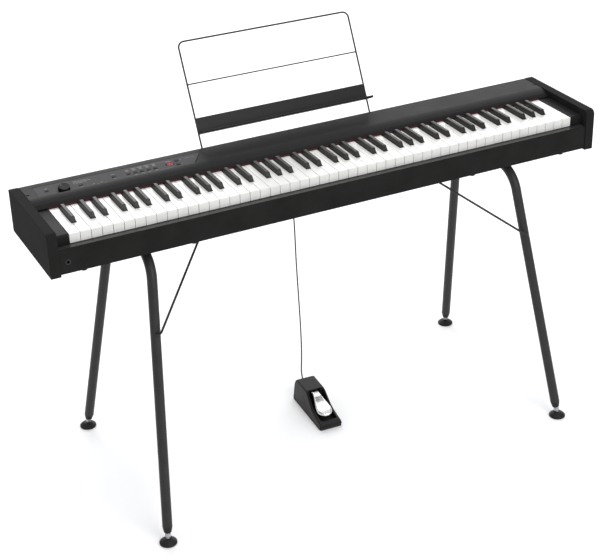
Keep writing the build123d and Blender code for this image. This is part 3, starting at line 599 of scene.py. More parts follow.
# The cover: flat at the back, rolled over in one arc towards the keys.
COVER_SKIN = 3.0
END_GAP = 0.9
ROLL_START = 60.0
ROLL_END = 24.5
ROLL_DROP = 12.8
ROLL_RADIUS = ((ROLL_START - ROLL_END) ** 2 + ROLL_DROP ** 2) / (2 * ROLL_DROP)
ROLL_ANGLE = math.asin((ROLL_START - ROLL_END) / ROLL_RADIUS)

# The control plate lies in a wedge-shaped pocket that deepens towards the front.
POCKET_LEFT, POCKET_RIGHT = -616.5, -231.0
POCKET_BACK, POCKET_DROP = 111.0, 14.0
POCKET_RUN = POCKET_BACK - ROLL_START
FACET_WIDTH = 41.0
PLATE_LENGTH = math.hypot(POCKET_RUN, POCKET_DROP)
PLATE_TILT = math.atan2(POCKET_DROP, POCKET_RUN)
PLATE_THICKNESS = 2.0


def onto_plate(piece):
    """Move a piece modelled flat about the origin onto the sloping control plate."""
    piece.location = mm(0, POCKET_BACK, CASE_TOP)
    piece.rotation_euler = (PLATE_TILT, 0, 0)
    return settle(piece)


def plate_blank(name, margin, low, high):
    """The plate's outline: a long strip with its right end cut on a slant."""
    blank = block(name, (POCKET_LEFT + margin, -PLATE_LENGTH + margin, low),
                  (POCKET_RIGHT - 2 * margin, -margin, high))
    pick(blank, "VERT", lambda v: at(v.co.x, POCKET_RIGHT - 2 * margin) and v.co.y < -0.02)
    move(x=-FACET_WIDTH + margin)
    put_down()
    return blank


def top_cover():
    cover = block("top_cover", (-HALF_INSIDE + END_GAP, ROLL_START, CASE_TOP - COVER_SKIN),
                  (HALF_INSIDE - END_GAP, case_high.y, CASE_TOP))
    pick(cover, "FACE", facing(y=-1))
    bpy.ops.mesh.spin(steps=20, angle=-ROLL_ANGLE, axis=(1, 0, 0),
                      center=mm(0, ROLL_START, CASE_TOP - ROLL_RADIUS))
    face_outwards(cover)
    tub = block("tub", (POCKET_LEFT - 3, ROLL_START - 3, CASE_TOP - POCKET_DROP - 5),
                (POCKET_RIGHT + 6, POCKET_BACK + 3, CASE_TOP - 1))
    carve(cover, tub, "UNION")
    wedge = block("wedge", (POCKET_LEFT, ROLL_START, CASE_TOP - POCKET_DROP),
                  (POCKET_RIGHT, POCKET_BACK, CASE_TOP + 5))
    slice_at(wedge, 2, CASE_TOP)
    pick(wedge, "VERT", lying_at(y=POCKET_BACK, z=CASE_TOP - POCKET_DROP))
    move(z=POCKET_DROP)
    pick(wedge, "VERT", lying_at(x=POCKET_RIGHT, z=CASE_TOP - POCKET_DROP))
    move(x=-FACET_WIDTH)
    face_outwards(wedge)
    carve(cover, wedge)
    carve(cover, onto_plate(plate_blank("recess", 0, -PLATE_THICKNESS - 0.2, 1)))
    carve(cover, block("well", (POCKET_LEFT + 8, 66, 690),
                       (POCKET_RIGHT - FACET_WIDTH - 6, 105, CASE_TOP - 1)))
    for side in (-1, 1):
        near, far = sorted((side * 632.5, side * 639.5))
        carve(cover, block("slot", (near, 77, CASE_TOP - 1.2), (far, 81, CASE_TOP + 1)))
    soften(cover, 0.4)
    fit(cover, "piano", cover_abs, "case_plastic", "top_panel")


top_cover()


def rear_panel():
    low, high = span("rear_panel")
    panel = block("rear_board", low, high)
    for x, z in LINE_JACKS:
        carve(panel, bore(x, low.y - 1, z, JACK_HOLE, 6, (0, 1, 0)))
    soften(panel, 0.3)
    fit(panel, "piano", vinyl_foil, "case_vinyl", "rear_panel")


rear_panel()


def key_felt():
    """A strip of red felt under the cover's lip, its edge soft and a little uneven."""
    low, high = span("felt_strip")
    under_lip = CASE_TOP - ROLL_DROP
    strip = block("key_felt", low, (high.x, high.y, under_lip))
    slice_at(strip, 0, *range(-600, 601, 15))
    slice_at(strip, 1, ROLL_END - 0.6)
    pick(strip, "VERT", lying_at(y=low.y, z=under_lip))
    move(z=high.z - under_lip)
    pick(strip, "VERT", lying_at(y=low.y))
    bpy.ops.transform.vertex_random(offset=0.2 * MM, uniform=0.2, normal=0.0, seed=4)
    put_down()
    fit(strip, "piano", red_felt, "red_felt", "felt_strip")


key_felt()


def ring(name, x, y, z, direction, outer, inner, length):
    """A tube with a rounded lip, drawn out along its bore, turned in at the rim and back."""
    return turned(name, (x, y, z), direction, [
        (0, outer), (length - 0.5, outer), (length, outer - 0.5), (length, inner + 0.3),
        (length - 0.3, inner), (1.5, inner),
    ])


def phone_and_line_jacks():
    front, back = span("jacks")
    sockets = [ring("jack", x, front.y + 17.6, z, (0, -1, 0), 6, 3.25, 17.6) for x, z in PHONE_JACKS]
    sockets += [ring("jack", x, back.y - 26, z, (0, 1, 0), 6, 3.25, 26) for x, z in LINE_JACKS]
    fit(join("phone_and_line_jacks", sockets), "piano", jack_nylon, "jack_plastic", "jacks")


phone_and_line_jacks()

# ---- controls ------------------------------------------------------------------------
BUTTON_PLACES = {
    "power_button": (-591.0, -19.0),
    "function_button_left": (-517.0, -24.0),
    "function_button_right": (-441.0, -20.0),
    "value_up_button": (-293.0, -12.0),
    "value_down_button": (-293.0, -25.0),
}
BUTTON_PLACES.update({f"sound_button_{i + 1}": (-408.0 + 15.5 * i, -22.0) for i in range(5)})
BUTTON_SIZE = (8.0, 5.0)
BUTTON_PROUD = 1.4
KNOB_AT = (-555.5, -28.0)
DISPLAY_AT = (-312.0, -19.5)
DISPLAY_SIZE = (20.0, 10.0)


def around(place, width, depth, low, high, name="cutter"):
    """A block about a point of the flat plate."""
    return block(name, (place[0] - width / 2, place[1] - depth / 2, low),
                 (place[0] + width / 2, place[1] + depth / 2, high))


def control_plate():
    plate = plate_blank("control_plate", 1.0, -PLATE_THICKNESS, 0)
    cutters = [around(p, BUTTON_SIZE[0] + 0.6, BUTTON_SIZE[1] + 0.6, -3, 1)
               for p in BUTTON_PLACES.values()]
    cutters.append(around(DISPLAY_AT, *DISPLAY_SIZE, -3, 1))
    cutters.append(bore(*KNOB_AT, -3, 3.4, 4, (0, 0, 1)))
    carve(plate, join("cutters", cutters))
    soften(plate, 0.15)
    fit(onto_plate(plate), "piano", panel_plate, "panel_plastic", "control_panel")


control_plate()


def button_cap():
    """A cap with a dished top, on a flange that keeps it in the plate, and a stem below."""
    width, depth = BUTTON_SIZE
    cap = block("button_cap", (-width / 2 - 1.5, -depth / 2 - 1.5, -3.3),
                (width / 2 + 1.5, depth / 2 + 1.5, -2.3))
    pick(cap, "FACE", facing(z=1))
    inset(1.5)
    extrude(z=2.3 + BUTTON_PROUD)
    inset(0.9)
    move(z=-0.25)
    pick(cap, "EDGE", lambda e: all(at(v.co.z, BUTTON_PROUD) for v in e.verts)
         and all(abs(v.co.x) > (width / 2 - 0.1) * MM or abs(v.co.y) > (depth / 2 - 0.1) * MM
                 for v in e.verts))
    round_over(0.45, 3)
    pick(cap, "FACE", facing(z=-1))
    inset(2.8)
    extrude(z=-3.2)
    put_down()
    return cap


cap = button_cap()
for button, (x, y) in BUTTON_PLACES.items():
    fit(onto_plate(copy_to(cap, f"{button}_cap", x, y)), button, button_abs, "button_plastic", button)
bpy.data.objects.remove(cap)


def volume_dial():
    """A drum with a milled skirt, a chamfered top and a pointer dot."""
    x, y = KNOB_AT
    dial = turned("volume_dial", (x, y, 0), (0, 0, 1), [
        (-9.4, 3), (0.6, 3), (0.6, 12.4), (1.2, 13), (8.6, 12.6), (10.0, 11.9), (10.6, 10.6),
        (10.3, 9.6),
    ], 72)
    pick(dial, "FACE", lambda f: 1.3 * MM < f.calc_center_median().z < 8 * MM
         and round(math.degrees(math.atan2(f.calc_center_median().y - y * MM,
                                           f.calc_center_median().x - x * MM)) / 5 - 0.5) % 2 == 0)
    inset(0.12, each=True)
    stretch((0.965, 0.965, 1), (x, y, 5))
    put_down()
    fit(onto_plate(dial), "volume_knob", knob_rubber, "knob_plastic", "volume_knob")
    dot = around((x - 5.5, y + 5.5), 1.6, 1.6, 10.15, 10.5, "volume_pointer")
    round_corners(dot, 0.7, 4)
    fit(onto_plate(dot), "volume_knob", print_ink, "knob_plastic")


volume_dial()


def display():
    """A smoked window in a thin frame, with three lit figures under its face."""
    x, y = DISPLAY_AT
    width, depth = DISPLAY_SIZE
    window = around(DISPLAY_AT, width - 0.4, depth - 0.4, -7, -0.2, "display_window")
    pick(window, "FACE", facing(z=1))
    inset(0.7)
    move(z=-0.15)
    put_down()
    fit(onto_plate(window), "piano", display_acrylic, "display_glass", "display_module")
    # Which of the seven bars of each figure are lit, for the figures 1, 2 and 0.
    bars = {
        "top": (0, 2.9, True), "middle": (0, 0, True), "bottom": (0, -2.9, True),
        "upper_left": (-1.6, 1.45, False), "upper_right": (1.6, 1.45, False),
        "lower_left": (-1.6, -1.45, False), "lower_right": (1.6, -1.45, False),
    }
    figures = [
        ("upper_right", "lower_right"),
        ("top", "upper_right", "middle", "lower_left", "bottom"),
        ("top", "upper_left", "upper_right", "lower_left", "lower_right", "bottom"),
    ]
    lit = []
    for column, figure in enumerate(figures):
        for bar in figure:
            dx, dy, lying = bars[bar]
            size = (2.4, 0.75) if lying else (0.75, 2.1)
            place = (x + (column - 1) * 5.4 + dx, y + dy)
            segment = around(place, *size, -0.45, -0.3, "segment")
            lit.append(round_corners(segment, 0.3, 1))
    fit(onto_plate(join("display_figures", lit)), "piano", segment_light, "display_glass")


display()


def printed_marks():
    """Short inked dashes where the labels are, too small to read as words."""
    grey, red = [], []

    def dash(marks, x, y, width, depth=0.9):
        mark = around((x, y), width, depth, -0.01, 0.05, "dash")
        marks.append(round_corners(mark, 0.25, 1))

    dash(grey, -606, -45, 8, 1.6)
    dash(grey, -595, -45, 5)
    dash(grey, -591, -12.5, 7)
    for row, widths in enumerate([(9, 6, 11, 4), (5, 8, 6, 7, 6), (4, 4, 7, 5, 3)]):
        left = -531
        for width in widths:
            dash(grey, left + width / 2, -9 - 3.4 * row, width, 0.7)
            left += width + 1.8
    for column, width in enumerate((5, 3, 6, 4)):
        dash(grey, -490 + 9 * column, -29 - column % 2 * 4, width, 0.7)
    dash(grey, -517, -30, 8)
    dash(red, -482, -19, 4)
    dash(grey, -441, -13, 9)
    dash(grey, -441, -26.5, 6)
    for i in range(5):
        x = -408 + 15.5 * i
        for row, width in enumerate((9, 6.5, 8)):
            dash(grey if row or i else red, x - 1 + row * 0.5, -7 - 3 * row, width)
        dash(red if i == 0 else grey, x, -28.5, 7)
    dash(grey, -284, -12, 2.5)
    dash(grey, -284, -25, 2.5)
    dash(grey, -312, -10.5, 12)
    for y in (-7.5, -31.5):
        dash(grey, -352, y, 92, 0.35)
    dash(grey, -262, -11, 24, 0.35)
    fit(onto_plate(join("panel_print", grey)), "piano", print_ink, "panel_plastic")
    fit(onto_plate(join("panel_print_red", red)), "piano", accent_ink, "panel_plastic")


printed_marks()

# ---- keys ----------------------------------------------------------------------------
KEY_HALF = (KEY_PITCH - 0.9) / 2
KEY_FRONT, KEY_SHOULDER, KEY_BACK = -107.0, 32.0, 118.0
KEY_TOP, SLAB_BOTTOM, LIP_BOTTOM, TAIL_BOTTOM = 707.0, 693.0, 686.0, 680.0
BLACK_HALF, BLACK_TOP = 5.2, 718.5
BLACK_FRONT, BLACK_BACK = -61.0, 20.5
NOTCH_REACH = BLACK_HALF + 1
SHARP_SHIFT = {"C": -2.4, "D": 2.4, "F": -3.4, "G": 0.0, "A": 3.4}
NOTES = "ABCDEFG"
OWN_OCTAVE = range(23, 30)
KEY_PIVOT = (112.0, 686.5)


def white_middle(index):
    return -KEY_HALF_SPAN + (index + 0.5) * KEY_PITCH


def sharp_after(index):
    """How far right of a natural's middle its sharp stands, or None."""
    note = NOTES[index % 7]
    if note not in SHARP_SHIFT or not 0 <= index <= WHITE_COUNT - 2:
        return None
    return KEY_PITCH / 2 + SHARP_SHIFT[note]


def key_tail(key):
    """The arm behind and under a key, which runs back to its shaft."""
    pick(key, "FACE", lambda f: f.normal.z < -0.999 and all(v.co.y > 1.9 * MM for v in f.verts))
    extrude(z=TAIL_BOTTOM - SLAB_BOTTOM)
    pick(key, "VERT", lying_at(y=2, z=TAIL_BOTTOM))
    move(y=8)
    pick(key, "FACE", lambda f: lying_at(y=KEY_SHOULDER)(f)
         and all(v.co.z < (SLAB_BOTTOM + 0.1) * MM for v in f.verts))
    extrude(y=KEY_BACK - KEY_SHOULDER)
    carve(key, bore(-15, *KEY_PIVOT, 2.55, 30, (1, 0, 0), 20))


def natural_key(left_sharp, right_sharp):
    """A natural about its own middle; the sharps beside it are given as distances from it."""
    key = block("natural", (-KEY_HALF, KEY_FRONT, SLAB_BOTTOM), (KEY_HALF, KEY_SHOULDER, KEY_TOP))
    slice_at(key, 1, KEY_FRONT + 10, 2)
    pick(key, "FACE", lambda f: f.normal.z < -0.999
         and all(v.co.y < (KEY_FRONT + 10.1) * MM for v in f.verts))
    extrude(z=LIP_BOTTOM - SLAB_BOTTOM)
    key_tail(key)
    for sharp, side in ((left_sharp, -1), (right_sharp, 1)):
        if sharp is not None:
            edge = sharp - side * NOTCH_REACH
            near, far = sorted((edge, side * KEY_PITCH))
            carve(key, block("notch", (near, BLACK_FRONT - 2, TAIL_BOTTOM - 1),
                             (far, KEY_BACK + 1, KEY_TOP + 1)))
    pick(key, "EDGE", lying_at(y=KEY_FRONT, z=KEY_TOP))
    round_over(1.6, 4)
    return soften(key, 0.45)


def sharp_key():
    """A sharp about its own middle: sides drawn in towards the top, and sloping ends."""
    key = block("sharp", (-BLACK_HALF, BLACK_FRONT, SLAB_BOTTOM),
                (BLACK_HALF, BLACK_BACK, KEY_TOP - 1))
    pick(key, "FACE", facing(z=1))
    extrude(z=BLACK_TOP - KEY_TOP + 1)
    stretch((0.8, 1, 1), (0, 0, 0))
    pick(key, "VERT", lying_at(y=BLACK_FRONT, z=BLACK_TOP))
    move(y=7)
    pick(key, "VERT", lying_at(y=BLACK_BACK, z=BLACK_TOP))
    move(y=-8)
    pick(key, "FACE", lambda f: f.normal.y > 0.99 and all(v.co.z < KEY_TOP * MM for v in f.verts))
    extrude(y=KEY_SHOULDER - BLACK_BACK)
    slice_at(key, 1, 2)
    key_tail(key)
    pick(key, "EDGE", lambda e: all(v.co.z > (BLACK_TOP - 0.1) * MM for v in e.verts)
         and not all(at(v.co.y, BLACK_BACK - 8) for v in e.verts))
    round_over(1.7, 4)
    return soften(key, 0.5)


natural_shapes = {}
outer_naturals, outer_sharps = [], []
one_sharp = sharp_key()
for index in range(WHITE_COUNT):
    before = sharp_after(index - 1)
    beside = (None if before is None else before - KEY_PITCH, sharp_after(index))
    if beside not in natural_shapes:
        natural_shapes[beside] = natural_key(*beside)
    note = NOTES[index % 7].lower()
    own = index in OWN_OCTAVE
    natural = copy_to(natural_shapes[beside], f"natural_{note}" if own else "outer_natural",
                      white_middle(index))
    if own:
        fit(natural, f"white_key_{note}", white_keytop, "white_key_plastic", f"white_key_{note}")
    else:
        outer_naturals.append(natural)
    if beside[1] is not None:
        sharp = copy_to(one_sharp, f"sharp_{note}" if own else "outer_sharp",
                        white_middle(index) + beside[1])
        if own:
            fit(sharp, f"black_key_{note}_sharp", black_keytop, "black_key_plastic",
                f"black_key_{note}_sharp")
        else:
            outer_sharps.append(sharp)
for template in [one_sharp, *natural_shapes.values()]:
    bpy.data.objects.remove(template)
fit(join("outer_naturals", outer_naturals), "other_white_keys", white_keytop,
    "white_key_plastic", "other_white_keys")
fit(join("outer_sharps", outer_sharps), "other_black_keys", black_keytop,
    "black_key_plastic", "other_black_keys")

# ---- stand ---------------------------------------------------------------------------
LEG_FOOT = Vector((510.0, 256.0, 20.0))
LEG_HEAD = Vector((447.2, 117.7, 614.5))
LEG_RISE = LEG_HEAD - LEG_FOOT
TUBE_RADIUS, TUBE_WALL, TUBE_BEND = 11.0, 1.5, 60.0
TUBE_START = 33.0
PAD_CENTRE_Z = 6.0
PLATE_AT_Y, PLATE_UNDER, PLATE_TOP = 75.0, 625.0, 630.0
SCREW_REACH = 19.0
CORNERS = {"front_left": (-1, -1), "front_right": (1, -1), "rear_left": (-1, 1), "rear_right": (1, 1)}


def leg_axis(side, end):
    """A leg's pad centre, and the way up its tube."""
    way = Vector((side * LEG_RISE.x, end * LEG_RISE.y, LEG_RISE.z)).normalized()
    foot = Vector((side * LEG_FOOT.x, end * LEG_FOOT.y, LEG_FOOT.z))
    return foot + way * ((PAD_CENTRE_Z - foot.z) / way.z), way


def leg_frame(node, side):
    """One bent tube for two legs, hollow, with two plates welded on top."""
    ends = [leg_axis(side, end) for end in (-1, 1)]
    route = [ends[0][0] + ends[0][1] * TUBE_START, (side * LEG_HEAD.x, -LEG_HEAD.y, LEG_HEAD.z),
             (side * LEG_HEAD.x, LEG_HEAD.y, LEG_HEAD.z), ends[1][0] + ends[1][1] * TUBE_START]
    tube = bent_tube(f"{node}_tube", route, TUBE_RADIUS, (TUBE_BEND, TUBE_BEND), 40, 16, False)
    apply_modifier(tube, "SOLIDIFY", thickness=TUBE_WALL * MM, offset=-1)
    welded = [tube]
    for end in (-1, 1):
        x, y = side * LEG_HEAD.x, end * PLATE_AT_Y
        plate = block("plate", (x - 27, y - 30, PLATE_UNDER), (x + 27, y + 30, PLATE_TOP))
        round_corners(plate, 6, 5)
        for dx in (-SCREW_REACH, SCREW_REACH):
            carve(plate, bore(x + dx, y, PLATE_UNDER - 1, 3.2, 8, (0, 0, 1)))
        welded.append(soften(plate, 0.5))
        for dx in (-6, 6):
            ripples = [(0.0, 0.7)] + [(1.0 + i * 1.5, 1.5 if i % 2 else 1.9) for i in range(26)]
            welded.append(turned("weld_bead", (x + dx, y - 20, 624.0), (0, 1, 0),
                                 ripples + [(40.5, 0.7)], 10))
    fit(join(f"{node}_welded", welded), "piano", powder_coat, "leg_paint", node)


leg_frame("left_leg_frame", -1)
leg_frame("right_leg_frame", 1)


def leg_braces():
    """Two thin rods, from the front legs back and inwards up into the board."""
    rods = []
    for side in (-1, 1):
        start, way = leg_axis(side, -1)
        low = start + way * ((463 - start.z) / way.z)
        route = [low + Vector((0, -5, 0)), low + Vector((0, -25, 0)),
                 (side * 248, 25, 622), (side * 248, 25, 638)]
        rods.append(bent_tube("rod", route, 2.5, (6, 6), 16, 8))
        rods.append(turned("washer", low + Vector((0, -10.2, 0)), (0, -1, 0),
                           [(0, 4.6), (0.9, 4.6), (1.4, 4.0)], 24))
    fit(join("brace_rods", rods), "piano", wire_paint, "black_wire", "leg_braces")


leg_braces()


def plate_screws():
    """Pan-head machine screws with a hexagon socket, up through the plates."""
    screw = turned("screw", (0, 0, 0), (0, 0, 1),
                   [(-3.6, 3.4), (-3.5, 4.6), (-3.0, 5.4), (-2.0, 5.9), (0, 6), (0.01, 3), (13, 3)])
    socket = turned("socket", (0, 0, -5), (0, 0, 1), [(0, 2.1), (3.4, 2.1)], 6)
    carve(screw, socket)
    screws = [copy_to(screw, "plate_screw", side * LEG_HEAD.x + dx, end * PLATE_AT_Y, PLATE_UNDER)
              for side in (-1, 1) for end in (-1, 1) for dx in (-SCREW_REACH, SCREW_REACH)]
    bpy.data.objects.remove(screw)
    fit(join("plate_screws", screws), "piano", zinc_plate, "screw_zinc", "frame_screws")


plate_screws()


def leg_ends():
    """Tapered plugs in the tubes' ends, and under each a levelling foot on its own thread."""
    plugs = []
    for corner, (side, end) in CORNERS.items():
        start, way = leg_axis(side, end)
        plugs.append(turned("tube_plug", start, way, [
            (62, 4.1), (19.4, 4.1), (19.4, 7.4), (20.0, 8.2), (26, 9.6), (32.6, 11),
            (33, 10.9), (33, 9.4), (62, 9.4), (62, 4.2),
        ]))
        pad = turned(f"levelling_pad_{corner}", (start.x, start.y, 0), (0, 0, 1), [
            (0.6, 16.5), (0, 17.5), (0, 18.6), (0.9, 19.5), (3.5, 19.5), (4.2, 19.0), (8.4, 14.2),
            (10.4, 11.6), (11.6, 9.6), (12, 8.0), (12, 6.4),
        ], 48)
        fit(pad, f"foot_{corner}", pad_plastic, "foot_rubber")
        nut = turned(f"levelling_nut_{corner}", start, way, [
            (8.8, 6.2), (9.6, 7.2), (18.2, 7.2), (19, 6.2),
        ], 6)
        soften(nut, 0.35)
        thread = [(18.9, 3.4)]
        for turn_index in range(20):
            thread += [(19.4 + turn_index * 2.0, 3.95), (20.4 + turn_index * 2.0, 3.4)]
        stud = turned("stud", start, way, thread, 20)
        neck = turned("neck", start, way, [(5.6, 4.8), (8.9, 4.8)], 24)
        fit(join(f"levelling_nut_{corner}", [nut, stud, neck]), f"foot_{corner}", zinc_plate,
            "screw_zinc", f"foot_{corner}")
    fit(join("tube_plugs", plugs), "piano", pad_plastic, "plug_plastic", "leg_plugs")


leg_ends()


def case_glides():
    glides = [turned("glide", (x, y, 630), (0, 0, -1),
                     [(0, 8), (0.6, 8), (8.6, 7.3), (9.6, 6.6), (10, 5.6), (9.6, 4.4)], 28)
              for x in (-587, -344, 344, 587) for y in (-105, 105)]
    fit(join("case_glides", glides), "piano", sole_rubber, "foot_rubber", "case_feet")


case_glides()

# ---- music rest ----------------------------------------------------------------------
REST_HALF = 214.0
REST_FOOT = Vector((0, 140.7, 715.4))
REST_TOP = Vector((0, 247.0, 931.0))
REST_UP = (REST_TOP - REST_FOOT).normalized()
REST_FORWARD = Vector((0, -REST_UP.z, REST_UP.y))
REST_SHAFT_LOW = 670.4
REST_BAR_Z = 845.0


def rest_wire():
    """One bent wire round the rest, and a cross bar welded between its sides."""
    feet = [Vector((side * REST_HALF, REST_FOOT.y, 0)) for side in (-1, 1)]
    route = [feet[0] + Vector((0, 0, REST_SHAFT_LOW)), feet[0] + Vector((0, 0, REST_FOOT.z)),
             REST_TOP + Vector((-REST_HALF, 0, 0)), REST_TOP + Vector((REST_HALF, 0, 0)),
             feet[1] + Vector((0, 0, REST_FOOT.z)), feet[1] + Vector((0, 0, REST_SHAFT_LOW))]
    wire = bent_tube("wire", route, 2.0, (12, 14, 14, 12), 20, 12)
    bar_place = REST_FOOT + REST_UP * ((REST_BAR_Z - REST_FOOT.z) / REST_UP.z)
    bar = turned("bar", (-REST_HALF, bar_place.y, bar_place.z), (1, 0, 0),
                 [(0, 1.5), (2.2, 2.1), (3.6, 1.6), (8, 1.5), (2 * REST_HALF - 8, 1.5),
                  (2 * REST_HALF - 3.6, 1.6), (2 * REST_HALF - 2.2, 2.1), (2 * REST_HALF, 1.5)], 16)
    fit(join("rest_wire", [wire, bar]), "music_rest", wire_paint, "black_wire", "rest_frame")


rest_wire()


def rest_ledge():
    """A folded sheet: a back strip welded to the wires, the ledge, and a small lip."""
    back, low, high, reach, lip, sheet = 2.1, 32.0, 68.0, 34.0, 4.0, 1.5
    corners = [REST_FOOT + REST_FORWARD * u + REST_UP * v for u, v in (
        (back, high), (back, low), (back + reach, low), (back + reach, low + lip))]
    put_down()
    bpy.ops.mesh.primitive_plane_add(size=1, location=(corners[0] + corners[1]) / 2 * MM)
    ledge = named("ledge_sheet")
    run = corners[0] - corners[1]
    ledge.scale = (2 * REST_HALF * MM, run.length * MM, 1)
    ledge.rotation_euler = (math.atan2(run.z, run.y), 0, 0)
    settle(ledge)
    for before, after in zip(corners[1:], corners[2:]):
        pick(ledge, "EDGE", lying_at(y=before.y, z=before.z))
        extrude(*(after - before))
    for fold in corners[1:3]:
        pick(ledge, "EDGE", lying_at(y=fold.y, z=fold.z))
        round_over(2.2, 5)
    pick(ledge, "FACE")
    bpy.ops.mesh.normals_make_consistent(inside=False)
    put_down()
    upper = max(ledge.data.polygons, key=lambda face: face.center.z)
    if upper.normal.dot(REST_FORWARD) < 0:
        pick(ledge, "FACE")
        bpy.ops.mesh.flip_normals()
        put_down()
    apply_modifier(ledge, "SOLIDIFY", thickness=sheet * MM, offset=1)
    soften(ledge, 0.3)
    fit(ledge, "music_rest", ledge_paint, "black_sheet", "rest_ledge")


rest_ledge()


def rest_sockets():
    low, high = span("rest_sockets")
    holders = []
    for side in (-1, 1):
        x = side * REST_HALF
        holder = block("holder", (x - 9, low.y, low.z), (x + 9, high.y, high.z))
        pick(holder, "EDGE", lambda e: all(at(v.co.y, high.y) for v in e.verts)
             and abs((e.verts[0].co - e.verts[1].co).z) > MM)
        round_over(4, 6)
        pick(holder, "FACE", facing(z=1))
        inset(1.6)
        extrude(z=-0.6)
        carve(holder, bore(x, REST_FOOT.y, low.z + 2, 2.1, 60, (0, 0, 1), 20))
        holders.append(soften(holder, 0.5))
    fit(join("rest_holders", holders), "piano", pad_plastic, "socket_plastic", "rest_sockets")


rest_sockets()

# ---- pedal ---------------------------------------------------------------------------
def relief_ribs(start, pitch, radius, growth):
    """Four ribs of a strain relief as steps of a turned profile, each wider than the last."""
    steps = []
    for rib in range(4):
        place, width = start + rib * pitch, radius + rib * growth
        steps += [(place, width), (place + 0.4, width - 0.5),
                  (place + pitch - 1.2, width - 0.4), (place + pitch - 0.8, width + 0.2)]
    return steps


PEDAL_TURN = math.radians(-3)
PEDAL_CENTRE = (7.0, 42.0, 0.0)
PEDAL_TOE, PEDAL_HEEL = -83.0, 83.0
PEDAL_PIVOT = (52.0, 42.0)
SOLE_TOP = 6.0
# The housing's back and top, from the heel to the toe: distance back, height.
PEDAL_RIDGE = [(83, 51), (73, 57.8), (65, 61), (11, 60), (3, 56.8), (-4, 51.2), (-14, 41.6),
               (-24, 33), (-40, 25.6), (-60, 21), (-78, 18), (-83, 13)]
PEDAL_TOP = 61
PEDAL_HALF = 29
SIDE_DRAFT = 5 / 58
UPPER_HALF, ABOVE_SOLE = 50 * MM, 12.5 * MM


def onto_floor(piece):
    """Move a piece modelled about the origin to where the pedal stands."""
    piece.location = mm(*PEDAL_CENTRE)
    piece.rotation_euler = (0, 0, PEDAL_TURN)
    return settle(piece)


def pedal_housing():
    """A wedge-backed shell, narrower at the top, with an open well under the spoon."""
    shell = block("pedal_shell", (-PEDAL_HALF, PEDAL_TOE, SOLE_TOP), (PEDAL_HALF, PEDAL_HEEL, PEDAL_TOP))
    slice_at(shell, 1, *(y for y, _ in PEDAL_RIDGE[1:-1]))
    for y, z in PEDAL_RIDGE:
        pick(shell, "VERT", lambda v: at(v.co.y, y) and v.co.z > UPPER_HALF)
        move(z=z - PEDAL_TOP)
        narrow = 1 - SIDE_DRAFT * (z - SOLE_TOP) / PEDAL_HALF
        stretch((narrow, 1, 1), (0, y, z))
    pick(shell, "VERT", lambda v: at(v.co.y, PEDAL_HEEL) and v.co.z > UPPER_HALF)
    move(y=-7)
    pick(shell, "EDGE", lambda e: all(v.co.z > ABOVE_SOLE for v in e.verts)
         and (all(v.co.x > 0.02 for v in e.verts) or all(v.co.x < -0.02 for v in e.verts)
              or all(v.co.y > 0.07 for v in e.verts) or all(v.co.y < -0.08 for v in e.verts)))
    round_over(4.5, 5)
    pick(shell, "EDGE", lambda e: abs((e.verts[0].co - e.verts[1].co).normalized().z) > 0.85
         and all(abs(v.co.x) > 0.02 for v in e.verts)
         and min(v.co.z for v in e.verts) < 0.0065)
    round_over(4.0, 4)
    put_down()
    well = block("well", (-21, -73, 9), (21, 11, 80))
    carve(shell, round_corners(well, 4, 5))
    carve(shell, block("lever_slot", (-14, 7, 20), (14, 67, 57)))
    soften(shell, 0.9, 3)
    bar = block("stop_bar", (-20.9, -67, 8.5), (20.9, -64, 11.5))
    pick(bar, "EDGE", lying_at(z=11.5))
    round_over(1.2, 4)
    put_down()
    fit(onto_floor(join("pedal_shell", [shell, bar])), "piano", pedal_abs, "pedal_plastic",
        "pedal_housing")
    nose = Vector(CORD_ROUTE[-1])
    way = (nose - Vector(CORD_ROUTE[-2])).normalized()
    relief = [(0, 2.2), (0.8, 3.0), *relief_ribs(2.6, 3, 3.1, 0.3), (19, 4.7)]
    fit(turned("cord_relief", nose, way, relief, 24), "piano", plug_pvc,
        "pedal_plastic")


pedal_housing()


def pedal_sole():
    sole = block("pedal_sole_pad", (-PEDAL_HALF, PEDAL_TOE, 0), (PEDAL_HALF, PEDAL_HEEL, SOLE_TOP))
    round_corners(sole, 5, 6)
    pick(sole, "FACE", facing(z=-1))
    inset(4)
    extrude(z=0.8)
    soften(sole, 0.5)
    fit(onto_floor(sole), "piano", sole_rubber, "sole_rubber", "pedal_sole")


pedal_sole()

# The lever's top face from its pivot to its toe: distance back, height, half-width.
LEVER_LINE = [(44, 47.9, 9.5), (30, 50.7, 9.5), (14, 54, 9.5), (6, 53.4, 9.9), (-2, 51.2, 10.9),
              (-10, 47.8, 12.4), (-18, 44, 14.3), (-26, 40.8, 16.3), (-34, 37.9, 18), (-42, 35.3, 19),
              (-48, 33.5, 18.6), (-53, 32.2, 16.8), (-57, 31.3, 14), (-60, 30.6, 10.8),
              (-62, 30.2, 7.2), (-63, 30, 4)]
LEVER_THICKNESS = 5.4


